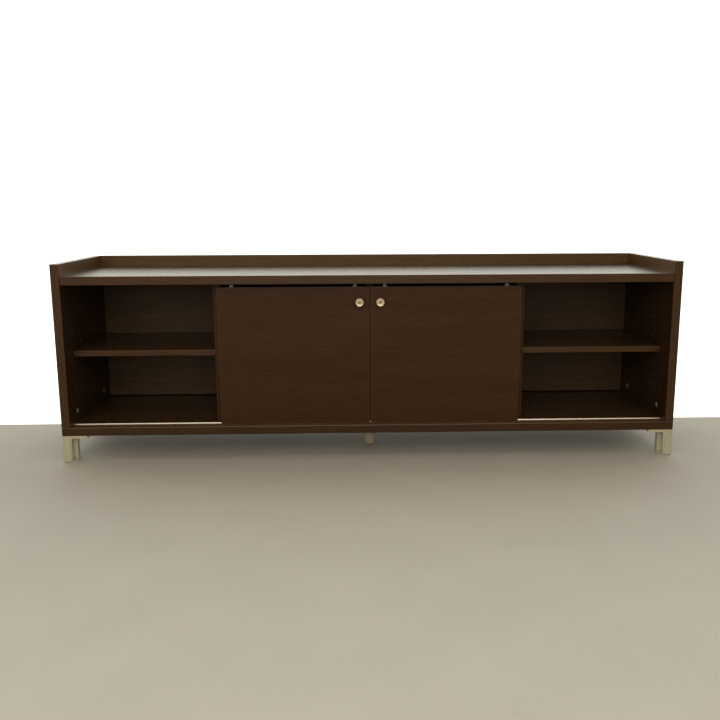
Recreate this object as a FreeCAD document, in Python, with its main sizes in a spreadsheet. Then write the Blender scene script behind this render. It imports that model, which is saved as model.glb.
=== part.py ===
"""Office credenza, 1800 mm wide, with two sliding doors that part from the middle.

A board carcass on metal legs: four equal bays, each with one adjustable shelf. The two
doors stand on rollers that run on a half-round rail, and a nylon guide pin near each top
corner keeps them upright in a track. Closed, they meet in the
middle over the two inner bays. Open, each covers the outer bay on its own side.

Millimetres. The origin is on the floor under the middle of the credenza, +Z is up,
+X points to its right seen from the front, and the front faces -Y.
"""
import FreeCAD, Part
import Sketcher
import os
import re
from FreeCAD import Placement, Rotation, Vector

doc = FreeCAD.newDocument("credenza")

# ---------------------------------------------------------------- driving sizes
SIZES = {
    # the carcass
    "width": 1800,
    "depth": 400,
    "carcass_height": 500,       # underside of the bottom board to the top of the sides
    "rim_height": 35,            # how far sides and gallery stand above the top
    "board": 25,                 # every board of the carcass
    "centre_bay": 420,           # clear width of each bay behind the closed doors
    "partition_setback": 58,     # front of the carcass to the front edge of a partition
    "back_board": 5,
    "back_inset": 3,             # rear edge of the carcass to the back panel
    "back_groove_depth": 8,
    "fit_gap": 0.1,              # between a loose fitting and the hole it drops into
    # shelves and their pins
    "shelf_board": 18,
    "shelf_setback": 66,
    "shelf_side_gap": 1,
    "shelf_back_gap": 2,
    "pin_pitch": 30,
    "pin_rows": 9,
    "pin_front": 137,            # front of the carcass to the front row of pin holes
    "pin_spread": 224,           # front row to back row
    "pin_shank_dia": 5,
    "pin_hole_depth": 10,
    "pin_head_dia": 7,
    "pin_reach": 8,
    "pin_end_gap": 1,            # end of a pin to the end of the notch that hides it
    # joints between boards
    "cam_housing_dia": 15,
    "cam_housing_depth": 12.5,
    "cam_recess_depth": 3,
    "cam_distance": 34,          # end of the board to the middle of its cam housing
    "cam_front": 72,             # front or back of the carcass to a side's cam housing
    "partition_cam_inset": 45,   # front or back edge of a partition to its cam housing
    "cam_bolt_dia": 6,
    "cam_bolt_grip": 11,         # length of the bolt screwed into the other board
    "dowel_dia": 8,
    "dowel_length": 30,
    "dowel_step": 32,            # cam bolt to the dowel beside it
    "gallery_dowels": 5,
    "gallery_dowel_margin": 75,
    "gallery_dowel_bite": 14,
    # doors
    "door_board": 20,
    "door_setback": 28,
    "door_gap_below": 2,
    "door_lip": 3,               # how far a door's front hangs down to hide the rail
    "door_lip_thickness": 2.5,
    "door_gap_above": 11,
    "door_lap": 8.5,             # how far a closed door covers the edge of a partition
    "door_seam": 2,
    "bumper_dia": 10,
    "bumper_thickness": 2,
    "bumper_margin": 40,
    "bumper_play": 0.5,
    # bottom rail and rollers
    "rail_width": 7,
    "rail_height": 3,
    "rail_shoulder": 1,
    "rail_stem": 2,
    "rail_stem_depth": 5,
    "rail_end_gap": 1,
    "running_gap": 0.3,
    "roller_inset": 42,          # edge of the door to a roller and to a guide pin
    "roller_dia": 18,
    "roller_tread_depth": 1.5,
    "roller_width": 10,
    "axle_dia": 3,
    "axle_play": 0.05,
    "housing_width": 13,
    "housing_length": 36,
    "housing_height": 19,
    "housing_wall": 1.2,
    "flange_length": 58,
    "flange_thickness": 2,
    "roller_screw_margin": 5,
    # top track and guide pins
    "track_width": 14,
    "track_depth": 10,
    "track_wall": 1.8,
    "guide_pin_dia": 9,
    "guide_entry": 7,            # how far a guide pin reaches into the track
    "guide_plug_dia": 12,
    "guide_plug_depth": 15,
    "guide_flange_dia": 15,
    "guide_flange_thickness": 2,
    # locks in the door knobs
    "lock_inset": 30,
    "lock_drop": 44,
    "knob_dia": 24,
    "knob_foot_dia": 21,
    "knob_waist_dia": 18,
    "knob_reach": 16,
    "knob_rim": 4,
    "knob_cone": 3,
    "edge_break": 1,
    "barrel_dia": 16,
    "plug_dia": 10,
    "plug_sink": 0.6,
    "key_slot_width": 1.6,
    "key_slot_length": 7,
    "key_slot_depth": 10,
    "nut_width": 24,             # across corners
    "nut_thickness": 2.5,
    "nut_recess_play": 1,
    "cam_gap": 0.5,
    "cam_thickness": 2,
    "cam_hub_dia": 16,
    "cam_square": 6,
    "hook_radius": 22,           # lock axis to the strike pin it catches
    "hook_finger": 4,
    "hook_play": 0.4,
    "hook_lead": 24,             # degrees of hook ahead of the strike pin
    "hook_root": 32,             # degrees of hook behind the strike pin
    "strike_pin_dia": 4,
    "strike_pin_gap": 0.8,       # end of a strike pin to the back of the door
    "strike_width": 22,
    "strike_height": 52,
    "strike_thickness": 1.5,
    "strike_screw_margin": 7,
    # corner legs
    "leg_height": 80,
    "leg_plate": 73,
    "leg_plate_thickness": 8,
    "leg_angle": 22,
    "leg_angle_thickness": 3,
    "leg_floor_gap": 2.5,
    "post_size": 18,
    "post_side_inset": 17,
    "post_front_inset": 25,
    "leg_screw_margin": 13,
    "foot_dia": 22,
    "foot_thickness": 7,
    "foot_gap": 0.5,
    "foot_stud_dia": 8,
    "foot_stud_length": 24,
    "foot_bore_depth": 30,
    # centre leg
    "centre_leg_setback": 176,
    "centre_leg_dia": 42,
    "centre_leg_wall": 2,
    "centre_leg_flange_dia": 74,
    "centre_leg_flange_thickness": 4,
    "centre_leg_screw_circle": 56,
    "centre_foot_height": 10,
    "centre_foot_stud_dia": 10,
    "centre_nut_thickness": 8,
    # wood screws
    "screw_dia": 4,
    "screw_length": 16,
    "screw_head_dia": 8,
    "screw_head_height": 2,
    "small_screw_dia": 3,
    "small_screw_length": 12,
    "small_screw_head_dia": 5.5,
    "small_screw_head_height": 1.2,
    "cam_screw_head_dia": 10,
    "cam_screw_head_height": 1.5,
    "recess_width": 1.2,
}

# Places and sizes that follow from the driving sizes. "front" is the front face's Y, and so on.
DERIVED = {
    "front": "-depth/2",
    "back": "depth/2",
    "inner_half": "width/2 - board",
    "floor_face": "leg_height + board",
    "rim_top": "leg_height + carcass_height",
    "top_face": "rim_top - rim_height",
    "roof_face": "top_face - board",
    "inside_height": "roof_face - floor_face",
    "shelf_middle": "(floor_face + roof_face)/2",
    "back_face": "back - back_inset - back_board",
    "back_bite": "back_groove_depth - fit_gap",
    "partition_front": "front + partition_setback",
    "partition_depth": "back_face - partition_front",
    "side_line": "width/2 - board/2",
    "partition_line": "centre_bay + board",
    "outer_bay": "inner_half - partition_line - board/2",
    "door_front": "front + door_setback",
    "door_line": "door_front + door_board/2",
    "door_back": "door_front + door_board",
    "door_low": "floor_face + door_gap_below",
    "door_seat": "door_low + door_lip",
    "door_top": "roof_face - door_gap_above",
    "door_height": "door_top - door_low",
    "door_outer": "board/2 + centre_bay + door_lap",
    "door_width": "door_outer - door_seam/2",
    "roller_outer": "door_outer - roller_inset",
    "roller_inner": "door_seam/2 + roller_inset",
    "rail_half": "inner_half - rail_end_gap",
    "rail_crown": "rail_height - rail_shoulder",
    "rail_radius": "((rail_width/2)^2 + rail_crown^2)/(2*rail_crown)",
    "roller_tread": "roller_dia/2 - roller_tread_depth",
    "roller_axis": "floor_face + rail_height + running_gap + roller_tread",
    "lock_height": "door_top - lock_drop",
    "plug_length": "knob_reach - plug_sink + door_board + cam_gap",
    "strike_face": "partition_front - strike_thickness",
    "strike_pin_x": "lock_inset - hook_radius",
    "slot_half": "strike_pin_dia/2 + hook_play",
    "centre_leg_y": "front + centre_leg_setback",
}

sheet = doc.addObject("Spreadsheet::Sheet", "Sizes")
for row, (alias, number) in enumerate(SIZES.items(), start=1):
    sheet.set(f"A{row}", alias)
    sheet.set(f"B{row}", str(number))
    sheet.setAlias(f"B{row}", alias)
doc.recompute()


# ---------------------------------------------------------------- helpers
def formula(text):
    """Spell a size out in the sheet's own cells, ready for setExpression."""

    def spell(match):
        word = match.group(0)
        if word in DERIVED:
            return f"({formula(DERIVED[word])})"
        if word not in SIZES and word != "pi":
            raise KeyError(f"no size is named {word}")
        return f"Sizes.{word}" if word in SIZES else word

    return re.sub(r"[a-z_]+", spell, text)


def size(text):
    """The value of a size formula in millimetres."""
    return float(sheet.evalExpression(formula(text)))


def bind(thing, **properties):
    """Bind properties of an object to size formulas."""
    for name, text in properties.items():
        thing.setExpression(name, formula(text))


def place(thing, x="0", y="0", z="0"):
    """Bind where an object stands."""
    for axis, text in zip("xyz", (x, y, z)):
        thing.setExpression(f"Placement.Base.{axis}", formula(text))


def new_sketch(body, plane, offset="0"):
    """An empty sketch on one of the body's own origin planes, moved along its normal."""
    sketch = body.newObject("Sketcher::SketchObject", "Sketch")
    origin_plane = next(item for item in body.Origin.OriginFeatures if item.Role == plane)
    sketch.AttachmentSupport = (origin_plane, [""])
    sketch.MapMode = "FlatFace"
    sketch.setExpression("AttachmentOffset.Base.z", formula(offset))
    return sketch


def dimension(sketch, kind, references, text):
    """A dimension whose value is bound to a size formula."""
    index = sketch.addConstraint(Sketcher.Constraint(kind, *references, size(text)))
    sketch.setExpression(f"Constraints[{index}]", formula(text))


def outline(sketch, points):
    """A closed outline of straight lines, with every corner fixed by its two dimensions."""
    first = sketch.GeometryCount
    corners = [Vector(size(u), size(v), 0) for u, v in points]
    for start, end in zip(corners, corners[1:] + corners[:1]):
        sketch.addGeometry(Part.LineSegment(start, end), False)
    for number, (u, v) in enumerate(points):
        line = first + number
        following = first + (number + 1) % len(points)
        sketch.addConstraint(Sketcher.Constraint("Coincident", line, 2, following, 1))
        dimension(sketch, "DistanceX", (-1, 1, line, 1), u)
        dimension(sketch, "DistanceY", (-1, 1, line, 1), v)


def rectangle(sketch, left, low, wide, high):
    """A rectangle from its lower left corner."""
    right, top = f"{left} + {wide}", f"{low} + {high}"
    outline(sketch, [(left, low), (right, low), (right, top), (left, top)])


def circle(sketch, u, v, diameter):
    """A circle fixed by its middle and its diameter."""
    index = sketch.addGeometry(Part.Circle(Vector(size(u), size(v), 0), Vector(0, 0, 1), 1), False)
    dimension(sketch, "DistanceX", (-1, 1, index, 3), u)
    dimension(sketch, "DistanceY", (-1, 1, index, 3), v)
    dimension(sketch, "Diameter", (index,), diameter)


def pad(body, sketch, length, reverse=False):
    feature = body.newObject("PartDesign::Pad", "Pad")
    feature.Profile = sketch
    feature.Reversed = reverse
    bind(feature, Length=length)
    return feature


def pocket(body, sketch, length, reverse=False):
    feature = body.newObject("PartDesign::Pocket", "Pocket")
    feature.Profile = sketch
    feature.Reversed = reverse
    bind(feature, Length=length)
    return feature


def revolve(body, sketch):
    """Turn a profile about the sketch's upright axis."""
    feature = body.newObject("PartDesign::Revolution", "Revolution")
    feature.Profile = sketch
    feature.ReferenceAxis = (sketch, ["V_Axis"])
    feature.Angle = 360
    return feature


def new_body(label):
    body = doc.addObject("PartDesign::Body", label)
    body.Label = label
    parts.append(body)
    return body


def cylinder(diameter, length, start="0"):
    """A cylinder on the Z axis, as raw material for a boolean."""
    solid = doc.addObject("Part::Cylinder", "Cylinder")
    bind(solid, Radius=f"({diameter})/2", Height=length)
    place(solid, z=start)
    return solid


def sector(radius, start_angle, sweep):
    """A slice of a disc as thick as the lock cam, from one angle over a sweep."""
    solid = doc.addObject("Part::Cylinder", "Sector")
    bind(solid, Radius=radius, Height="cam_thickness", Angle=sweep)
    solid.Placement = Placement(Vector(), Rotation(Vector(0, 0, 1), 1))
    solid.setExpression("Placement.Rotation.Angle", formula(start_angle))
    return solid


def box(wide, deep, high, x="0", y="0", z="0"):
    solid = doc.addObject("Part::Box", "Box")
    bind(solid, Length=wide, Width=deep, Height=high)
    place(solid, x, y, z)
    return solid


def fuse(*solids):
    joined = doc.addObject("Part::MultiFuse", "Fuse")
    joined.Shapes = list(solids)
    return joined


def cut(base, tool):
    result = doc.addObject("Part::Cut", "Cut")
    result.Base = base
    result.Tool = tool
    return result


def cross(reach, deep):
    """A cross as wide as a screwdriver needs, to be cut into a head at Z = 0."""
    return fuse(box(reach, "recess_width", deep, f"-({reach})/2", "-recess_width/2"),
                box("recess_width", reach, deep, "-recess_width/2", f"-({reach})/2"))


def screw(head_dia, head_height, shank_dia, length):
    """A screw that points up from the underside of its head at Z = 0, with a cross recess."""
    head = cylinder(head_dia, head_height)
    shank = cylinder(shank_dia, length, head_height)
    return cut(fuse(head, shank), cross(f"({head_dia})/2", f"({head_height})/2"))


def finished(label, solid, x="0", y="0", z="0"):
    """Make a primitive or boolean a sub-part of its own."""
    solid.Label = label
    place(solid, x, y, z)
    parts.append(solid)
    return solid


def copies(label, pattern, places):
    """A group of identical pieces: one solid of the pattern at each place.

    A place is three size formulas and, if the piece is turned, its rotation.
    """
    doc.recompute()
    solids = []
    for x, y, z, *turn in places:
        spot = Placement(Vector(size(x), size(y), size(z)), turn[0] if turn else Rotation())
        solids += [solid.transformed(spot.toMatrix()) for solid in pattern.Shape.Solids]
    group = doc.addObject("Part::Feature", label)
    group.Label = label
    group.Shape = Part.makeCompound(solids)
    parts.append(group)
    return group


# How each face of a board is sketched on: plane, offset along its normal, and whether a
# pocket has to be reversed to cut into the board.
FACES = {
    "bottom": ("XY_Plane", "0", True),
    "top": ("XY_Plane", "{high}", False),
    "left": ("YZ_Plane", "0", True),
    "right": ("YZ_Plane", "{wide}", False),
    "front": ("XZ_Plane", "0", False),
    "back": ("XZ_Plane", "-({deep})", True),
}
AXES = {"XY_Plane": (0, 1), "YZ_Plane": (1, 2), "XZ_Plane": (0, 2)}


class Board:
    """A flat board, padded from its lowest, front, left corner.

    Holes and grooves are given in the credenza's own frame, so that the two boards of a
    joint are drilled from the same formulas.
    """

    def __init__(self, label, corner, wide, deep, high):
        self.corner = corner
        self.extent = {"wide": wide, "deep": deep, "high": high}
        self.body = new_body(label)
        plan = new_sketch(self.body, "XY_Plane")
        rectangle(plan, "0", "0", wide, deep)
        pad(self.body, plan, high)
        place(self.body, *corner)

    def sketch(self, face):
        plane, offset, reverse = FACES[face]
        return new_sketch(self.body, plane, offset.format(**self.extent)), AXES[plane], reverse

    def local(self, spot, axes):
        """Turn a spot in the credenza's frame into the sketch's own two coordinates."""
        return [f"({spot[number]}) - ({self.corner[axis]})" for number, axis in enumerate(axes)]

    def bores(self, face, spots, diameter, deep):
        """Round blind holes from a face, at spots given by the face's two coordinates."""
        sketch, axes, reverse = self.sketch(face)
        for spot in spots:
            circle(sketch, *self.local(spot, axes), diameter)
        return pocket(self.body, sketch, deep, reverse)

    def groove(self, face, spot, wide, high, deep):
        """A rectangular recess from a face, from its lower left corner."""
        sketch, axes, reverse = self.sketch(face)
        rectangle(sketch, *self.local(spot, axes), wide, high)
        return pocket(self.body, sketch, deep, reverse)

    def pin_holes(self, face):
        """Two columns of shelf pin holes, one row every pitch about the shelf's middle."""
        lowest = "shelf_middle - pin_pitch*(pin_rows - 1)/2"
        columns = [("front + pin_front", lowest), ("front + pin_front + pin_spread", lowest)]
        row = self.bores(face, columns, "pin_shank_dia + 2*fit_gap", "pin_hole_depth")
        pattern = self.body.newObject("PartDesign::LinearPattern", "PinRows")
        pattern.Originals = [row]
        pattern.Direction = (row.Profile[0], ["V_Axis"])
        bind(pattern, Length="pin_pitch*(pin_rows - 1)", Occurrences="pin_rows")
        self.body.Tip = pattern


def mirrored(values):
    """The same formulas on both sides of the middle."""
    return [f"-({value})" for value in values] + list(values)


parts = []

# ---------------------------------------------------------------- carcass
# Uprights stand on the bottom board. Each joint has two cam fittings and two dowels, one of
# each towards the front and one of each towards the back.
SIDE_LINES = ["-(side_line)", "side_line"]
SIDE_CAMS = ["front + cam_front", "back - cam_front"]
SIDE_DOWELS = ["front + cam_front + dowel_step", "back - cam_front - dowel_step"]
PARTITION_LINES = ["-(partition_line)", "0", "partition_line"]
PARTITION_CAMS = ["partition_front + partition_cam_inset", "back_face - partition_cam_inset"]
PARTITION_DOWELS = ["partition_front + partition_cam_inset + dowel_step",
                    "back_face - partition_cam_inset - dowel_step"]
CAM_BOLT_HOLE = "cam_bolt_dia + 2*fit_gap"
DOWEL_HOLE = "dowel_dia + 2*fit_gap"
DOWEL_BITE = "dowel_length/2 + fit_gap"
CAM_HOUSING_HOLE = "cam_housing_dia + 2*fit_gap"
SCREW_HOLE = "screw_dia + 2*fit_gap"
SMALL_SCREW_HOLE = "small_screw_dia + 2*fit_gap"
LEG_SCREW_REACH = "leg_plate/2 - leg_screw_margin"


def grid(columns, rows):
    return [(column, row) for column in columns for row in rows]


SIDE_BOLTS = grid(SIDE_LINES, SIDE_CAMS)
SIDE_PEGS = grid(SIDE_LINES, SIDE_DOWELS)
PARTITION_BOLTS = grid(PARTITION_LINES, PARTITION_CAMS)
PARTITION_PEGS = grid(PARTITION_LINES, PARTITION_DOWELS)
TOP_BOARD_CAMS = grid(mirrored(["inner_half - cam_distance"]), SIDE_CAMS)
LEG_CENTRES = grid(mirrored(["width/2 - leg_plate/2"]), mirrored(["depth/2 - leg_plate/2"]))


def leg_screw_spots():
    """Three screws in each corner plate, clear of the angle and the post at its outer corner."""
    spots = []
    for x, y in LEG_CENTRES:
        inward_x = "1" if x.startswith("-") else "-1"
        inward_y = "1" if y.startswith("-") else "-1"
        for side, front in ((1, 1), (1, -1), (-1, 1)):
            spots.append((f"{x} + {side}*{inward_x}*({LEG_SCREW_REACH})",
                          f"{y} + {front}*{inward_y}*({LEG_SCREW_REACH})"))
    return spots


def centre_leg_screw_spots():
    """Four screws round the flange of the centre leg."""
    reach = "centre_leg_screw_circle/2"
    return [(reach, "centre_leg_y"), (f"-{reach}", "centre_leg_y"),
            ("0", f"centre_leg_y + {reach}"), ("0", f"centre_leg_y - {reach}")]


def gallery_dowel_xs():
    """Even spacing along the gallery, from one margin to the other."""
    count = int(size("gallery_dowels"))
    reach = "inner_half - gallery_dowel_margin"
    return [f"({reach})*({2*number - count + 1})/{count - 1}" for number in range(count)]


GALLERY_DOWELS = [(x, "back - board/2") for x in gallery_dowel_xs()]

bottom = Board("bottom_board", ("-width/2", "front", "leg_height"), "width", "depth", "board")
bottom.bores("top", SIDE_BOLTS + PARTITION_BOLTS, CAM_BOLT_HOLE, "cam_bolt_grip + fit_gap")
bottom.bores("top", SIDE_PEGS + PARTITION_PEGS, DOWEL_HOLE, DOWEL_BITE)
bottom.groove("top", ("-(rail_half)", "door_line - rail_stem/2 - fit_gap"),
              "2*rail_half", "rail_stem + 2*fit_gap", "rail_stem_depth + fit_gap")
bottom.groove("top", ("-(inner_half + back_groove_depth)", "back_face - fit_gap"),
              "2*(inner_half + back_groove_depth)", "back_board + 2*fit_gap", "back_groove_depth")
bottom.bores("bottom", leg_screw_spots(), SCREW_HOLE, "screw_length - leg_plate_thickness + fit_gap")
bottom.bores("bottom", centre_leg_screw_spots(), SCREW_HOLE,
             "screw_length - centre_leg_flange_thickness + fit_gap")

for side, sign, inner_face, corner_x in (("left", "-", "right", "-width/2"),
                                         ("right", "", "left", "inner_half")):
    panel = Board(f"{side}_side_panel", (corner_x, "front", "floor_face"),
                  "board", "depth", "rim_top - floor_face")
    panel.pin_holes(inner_face)
    line = f"{sign}(side_line)"
    panel.bores(inner_face, grid(SIDE_CAMS, ["floor_face + cam_distance"]),
                CAM_HOUSING_HOLE, "cam_housing_depth + fit_gap")
    panel.bores("bottom", grid([line], SIDE_CAMS), CAM_BOLT_HOLE, "cam_distance")
    panel.bores("bottom", grid([line], SIDE_DOWELS), DOWEL_HOLE, DOWEL_BITE)
    panel.bores(inner_face, grid(SIDE_CAMS, ["roof_face + board/2"]),
                CAM_BOLT_HOLE, "cam_bolt_grip + fit_gap")
    panel.bores(inner_face, grid(SIDE_DOWELS, ["roof_face + board/2"]), DOWEL_HOLE, DOWEL_BITE)
    panel.groove(inner_face, ("back_face - fit_gap", "floor_face"), "back_board + 2*fit_gap",
                 "inside_height + back_groove_depth", "back_groove_depth")

top = Board("top_board", ("-(inner_half)", "front", "roof_face"), "2*inner_half", "depth", "board")
top.bores("bottom", TOP_BOARD_CAMS, CAM_HOUSING_HOLE, "cam_housing_depth + fit_gap")
for end in ("left", "right"):
    top.bores(end, grid(SIDE_CAMS, ["roof_face + board/2"]), CAM_BOLT_HOLE, "cam_distance")
    top.bores(end, grid(SIDE_DOWELS, ["roof_face + board/2"]), DOWEL_HOLE, DOWEL_BITE)
top.bores("bottom", PARTITION_BOLTS, CAM_BOLT_HOLE, "cam_bolt_grip + fit_gap")
top.bores("bottom", PARTITION_PEGS, DOWEL_HOLE, DOWEL_BITE)
top.groove("bottom", ("-(rail_half)", "door_line - track_width/2 - fit_gap"),
           "2*rail_half", "track_width + 2*fit_gap", "track_depth + fit_gap")
top.groove("bottom", ("-(inner_half)", "back_face - fit_gap"),
           "2*inner_half", "back_board + 2*fit_gap", "back_groove_depth")
top.bores("top", GALLERY_DOWELS, DOWEL_HOLE, "gallery_dowel_bite + fit_gap")

gallery = Board("back_gallery", ("-(inner_half)", "back - board", "top_face"),
                "2*inner_half", "board", "rim_height")
gallery.bores("bottom", GALLERY_DOWELS, DOWEL_HOLE, "dowel_length - gallery_dowel_bite + fit_gap")

back_panel = Board("back_panel", ("-(inner_half + back_bite)", "back_face", "floor_face - back_bite"),
                   "2*(inner_half + back_bite)", "back_board", "inside_height + 2*back_bite")

STRIKE_SCREWS = mirrored(["strike_height/2 - strike_screw_margin"])
PARTITION_CAM_HEIGHTS = ["floor_face + cam_distance", "roof_face - cam_distance"]
PARTITIONS = {"left_partition": (PARTITION_LINES[0], "right"),
              "centre_partition": (PARTITION_LINES[1], "right"),
              "right_partition": (PARTITION_LINES[2], "left")}
for label, (line, cam_face) in PARTITIONS.items():
    partition = Board(label, (f"{line} - board/2", "partition_front", "floor_face"),
                      "board", "partition_depth", "inside_height")
    for face in ("left", "right"):
        partition.pin_holes(face)
    partition.bores(cam_face, grid(PARTITION_CAMS, PARTITION_CAM_HEIGHTS),
                    CAM_HOUSING_HOLE, "cam_housing_depth + fit_gap")
    for face in ("bottom", "top"):
        partition.bores(face, grid([line], PARTITION_CAMS), CAM_BOLT_HOLE, "cam_distance")
        partition.bores(face, grid([line], PARTITION_DOWELS), DOWEL_HOLE, DOWEL_BITE)
    if label == "centre_partition":
        partition.bores("front", [(line, f"lock_height + {z}") for z in STRIKE_SCREWS],
                        SMALL_SCREW_HOLE, "small_screw_length - strike_thickness + fit_gap")

# ---------------------------------------------------------------- shelves
# Each shelf drops over four pins at its middle height: a notch in its underside hides them.
BAYS = {
    "left_outer": ("-(inner_half)", "outer_bay"),
    "left_inner": ("-(partition_line) + board/2", "centre_bay"),
    "right_inner": ("board/2", "centre_bay"),
    "right_outer": ("partition_line + board/2", "outer_bay"),
}
PIN_LINES = ["front + pin_front", "front + pin_front + pin_spread"]
NOTCH_LENGTH = "pin_reach - shelf_side_gap + pin_end_gap"
NOTCH_WIDTH = "pin_head_dia + 2*fit_gap"
pin_places = []
for bay, (left, clear) in BAYS.items():
    shelf_left, shelf_width = f"{left} + shelf_side_gap", f"{clear} - 2*shelf_side_gap"
    shelf = Board(f"{bay}_shelf", (shelf_left, "front + shelf_setback", "shelf_middle - shelf_board/2"),
                  shelf_width, "back_face - shelf_back_gap - front - shelf_setback", "shelf_board")
    for pin_y in PIN_LINES:
        for notch_left in (shelf_left, f"{shelf_left} + {shelf_width} - ({NOTCH_LENGTH})"):
            shelf.groove("bottom", (notch_left, f"{pin_y} - ({NOTCH_WIDTH})/2"),
                         NOTCH_LENGTH, NOTCH_WIDTH, "(shelf_board + pin_head_dia)/2")
        pin_places.append((left, pin_y, "shelf_middle", Rotation(Vector(0, 1, 0), 90)))
        pin_places.append((f"{left} + {clear}", pin_y, "shelf_middle", Rotation(Vector(0, 1, 0), -90)))

pin_pattern = fuse(cylinder("pin_shank_dia", "pin_hole_depth - fit_gap", "-(pin_hole_depth - fit_gap)"),
                   cylinder("pin_head_dia", "pin_reach"))
copies("shelf_pins", pin_pattern, pin_places)

# ---------------------------------------------------------------- joint fittings
# A cam housing lies in the board that has its wide bore. Its bolt is screwed into the other board.
UP, DOWN = Rotation(), Rotation(Vector(1, 0, 0), 180)
TO_RIGHT, TO_LEFT = Rotation(Vector(0, 1, 0), 90), Rotation(Vector(0, 1, 0), -90)
cam_pattern = cut(cylinder("cam_housing_dia", "cam_housing_depth - fit_gap"),
                  cross("cam_housing_dia/2", "cam_recess_depth"))
bolt_pattern = cylinder("cam_bolt_dia", "cam_bolt_grip + cam_distance - cam_housing_dia/2 - fit_gap",
                        "-cam_bolt_grip")
dowel_pattern = cylinder("dowel_dia", "dowel_length", "-dowel_length/2")
bolt_places = [(x, y, "floor_face", UP) for x, y in SIDE_BOLTS + PARTITION_BOLTS]
bolt_places += [(x, y, "roof_face", DOWN) for x, y in PARTITION_BOLTS]
dowel_places = [(x, y, "floor_face", UP) for x, y in SIDE_PEGS + PARTITION_PEGS]
dowel_places += [(x, y, "roof_face", UP) for x, y in PARTITION_PEGS]
cam_places = [(x, y, "roof_face", UP) for x, y in TOP_BOARD_CAMS]
for x, inward, outward in (("-(inner_half)", TO_RIGHT, TO_LEFT), ("inner_half", TO_LEFT, TO_RIGHT)):
    bolt_places += [(x, y, "roof_face + board/2", inward) for y in SIDE_CAMS]
    dowel_places += [(x, y, "roof_face + board/2", inward) for y in SIDE_DOWELS]
    cam_places += [(x, y, "floor_face + cam_distance", outward) for y in SIDE_CAMS]
for line, cam_face in PARTITIONS.values():
    cam_side, turn = ("+", TO_LEFT) if cam_face == "right" else ("-", TO_RIGHT)
    cam_places += [(f"{line} {cam_side} board/2", y, z, turn)
                   for y, z in grid(PARTITION_CAMS, PARTITION_CAM_HEIGHTS)]
for x, y in GALLERY_DOWELS:
    dowel_places.append((x, y, "top_face + dowel_length/2 - gallery_dowel_bite", UP))
copies("cam_housings", cam_pattern, cam_places)
copies("cam_bolts", bolt_pattern, bolt_places)
copies("wood_dowels", dowel_pattern, dowel_places)

# ---------------------------------------------------------------- rail and track
# The rail's head is half round, and its stem is pressed into a groove in the bottom board.
rail = new_body("bottom_rail")
section = new_sketch(rail, "YZ_Plane")
RAIL_CORNERS = [("rail_width/2", "rail_shoulder"), ("rail_width/2", "0"), ("rail_stem/2", "0"),
                ("rail_stem/2", "-rail_stem_depth"), ("-rail_stem/2", "-rail_stem_depth"),
                ("-rail_stem/2", "0"), ("-rail_width/2", "0"), ("-rail_width/2", "rail_shoulder")]
corners = [Vector(size(u), size(v), 0) for u, v in RAIL_CORNERS]
for number, (start, end) in enumerate(zip(corners, corners[1:])):
    section.addGeometry(Part.LineSegment(start, end), False)
    dimension(section, "DistanceX", (-1, 1, number, 1), RAIL_CORNERS[number][0])
    dimension(section, "DistanceY", (-1, 1, number, 1), RAIL_CORNERS[number][1])
    if number:
        section.addConstraint(Sketcher.Constraint("Coincident", number - 1, 2, number, 1))
dimension(section, "DistanceX", (-1, 1, number, 2), RAIL_CORNERS[-1][0])
dimension(section, "DistanceY", (-1, 1, number, 2), RAIL_CORNERS[-1][1])
crown = section.addGeometry(Part.Arc(corners[0], Vector(0, size("rail_height"), 0), corners[-1]), False)
section.addConstraint(Sketcher.Constraint("Coincident", crown, 1, 0, 1))
section.addConstraint(Sketcher.Constraint("Coincident", crown, 2, number, 2))
dimension(section, "Radius", (crown,), "rail_radius")
pad(rail, section, "2*rail_half")
place(rail, "-(rail_half)", "door_line", "floor_face")

track = new_body("top_guide_track")
section = new_sketch(track, "YZ_Plane")
outline(section, [("-track_width/2", "0"), ("track_wall - track_width/2", "0"),
                  ("track_wall - track_width/2", "track_depth - track_wall"),
                  ("track_width/2 - track_wall", "track_depth - track_wall"),
                  ("track_width/2 - track_wall", "0"), ("track_width/2", "0"),
                  ("track_width/2", "track_depth"), ("-track_width/2", "track_depth")])
pad(track, section, "2*rail_half")
place(track, "-(rail_half)", "door_line", "roof_face")

# ---------------------------------------------------------------- doors
DOORS = {"left": "-", "right": ""}
DOOR_LEFT_EDGE = {"left": "-(door_outer)", "right": "door_seam/2"}
HOUSING_HOLE_WIDTH = "housing_width + 2*fit_gap"
NUT_RECESS = "nut_width + 2*nut_recess_play"
BARREL_HOLE = "barrel_dia + 2*fit_gap"
TO_BACK, TO_FRONT = Rotation(Vector(1, 0, 0), -90), Rotation(Vector(1, 0, 0), 90)

small_screw = screw("small_screw_head_dia", "small_screw_head_height", "small_screw_dia",
                    "small_screw_length")
axle_pattern = cylinder("axle_dia", "housing_width", "-housing_width/2")
guide_pattern = fuse(cylinder("guide_plug_dia", "guide_plug_depth", "-guide_plug_depth"),
                     cylinder("guide_flange_dia", "guide_flange_thickness"),
                     cylinder("guide_pin_dia", "door_gap_above + guide_entry"))


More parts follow.
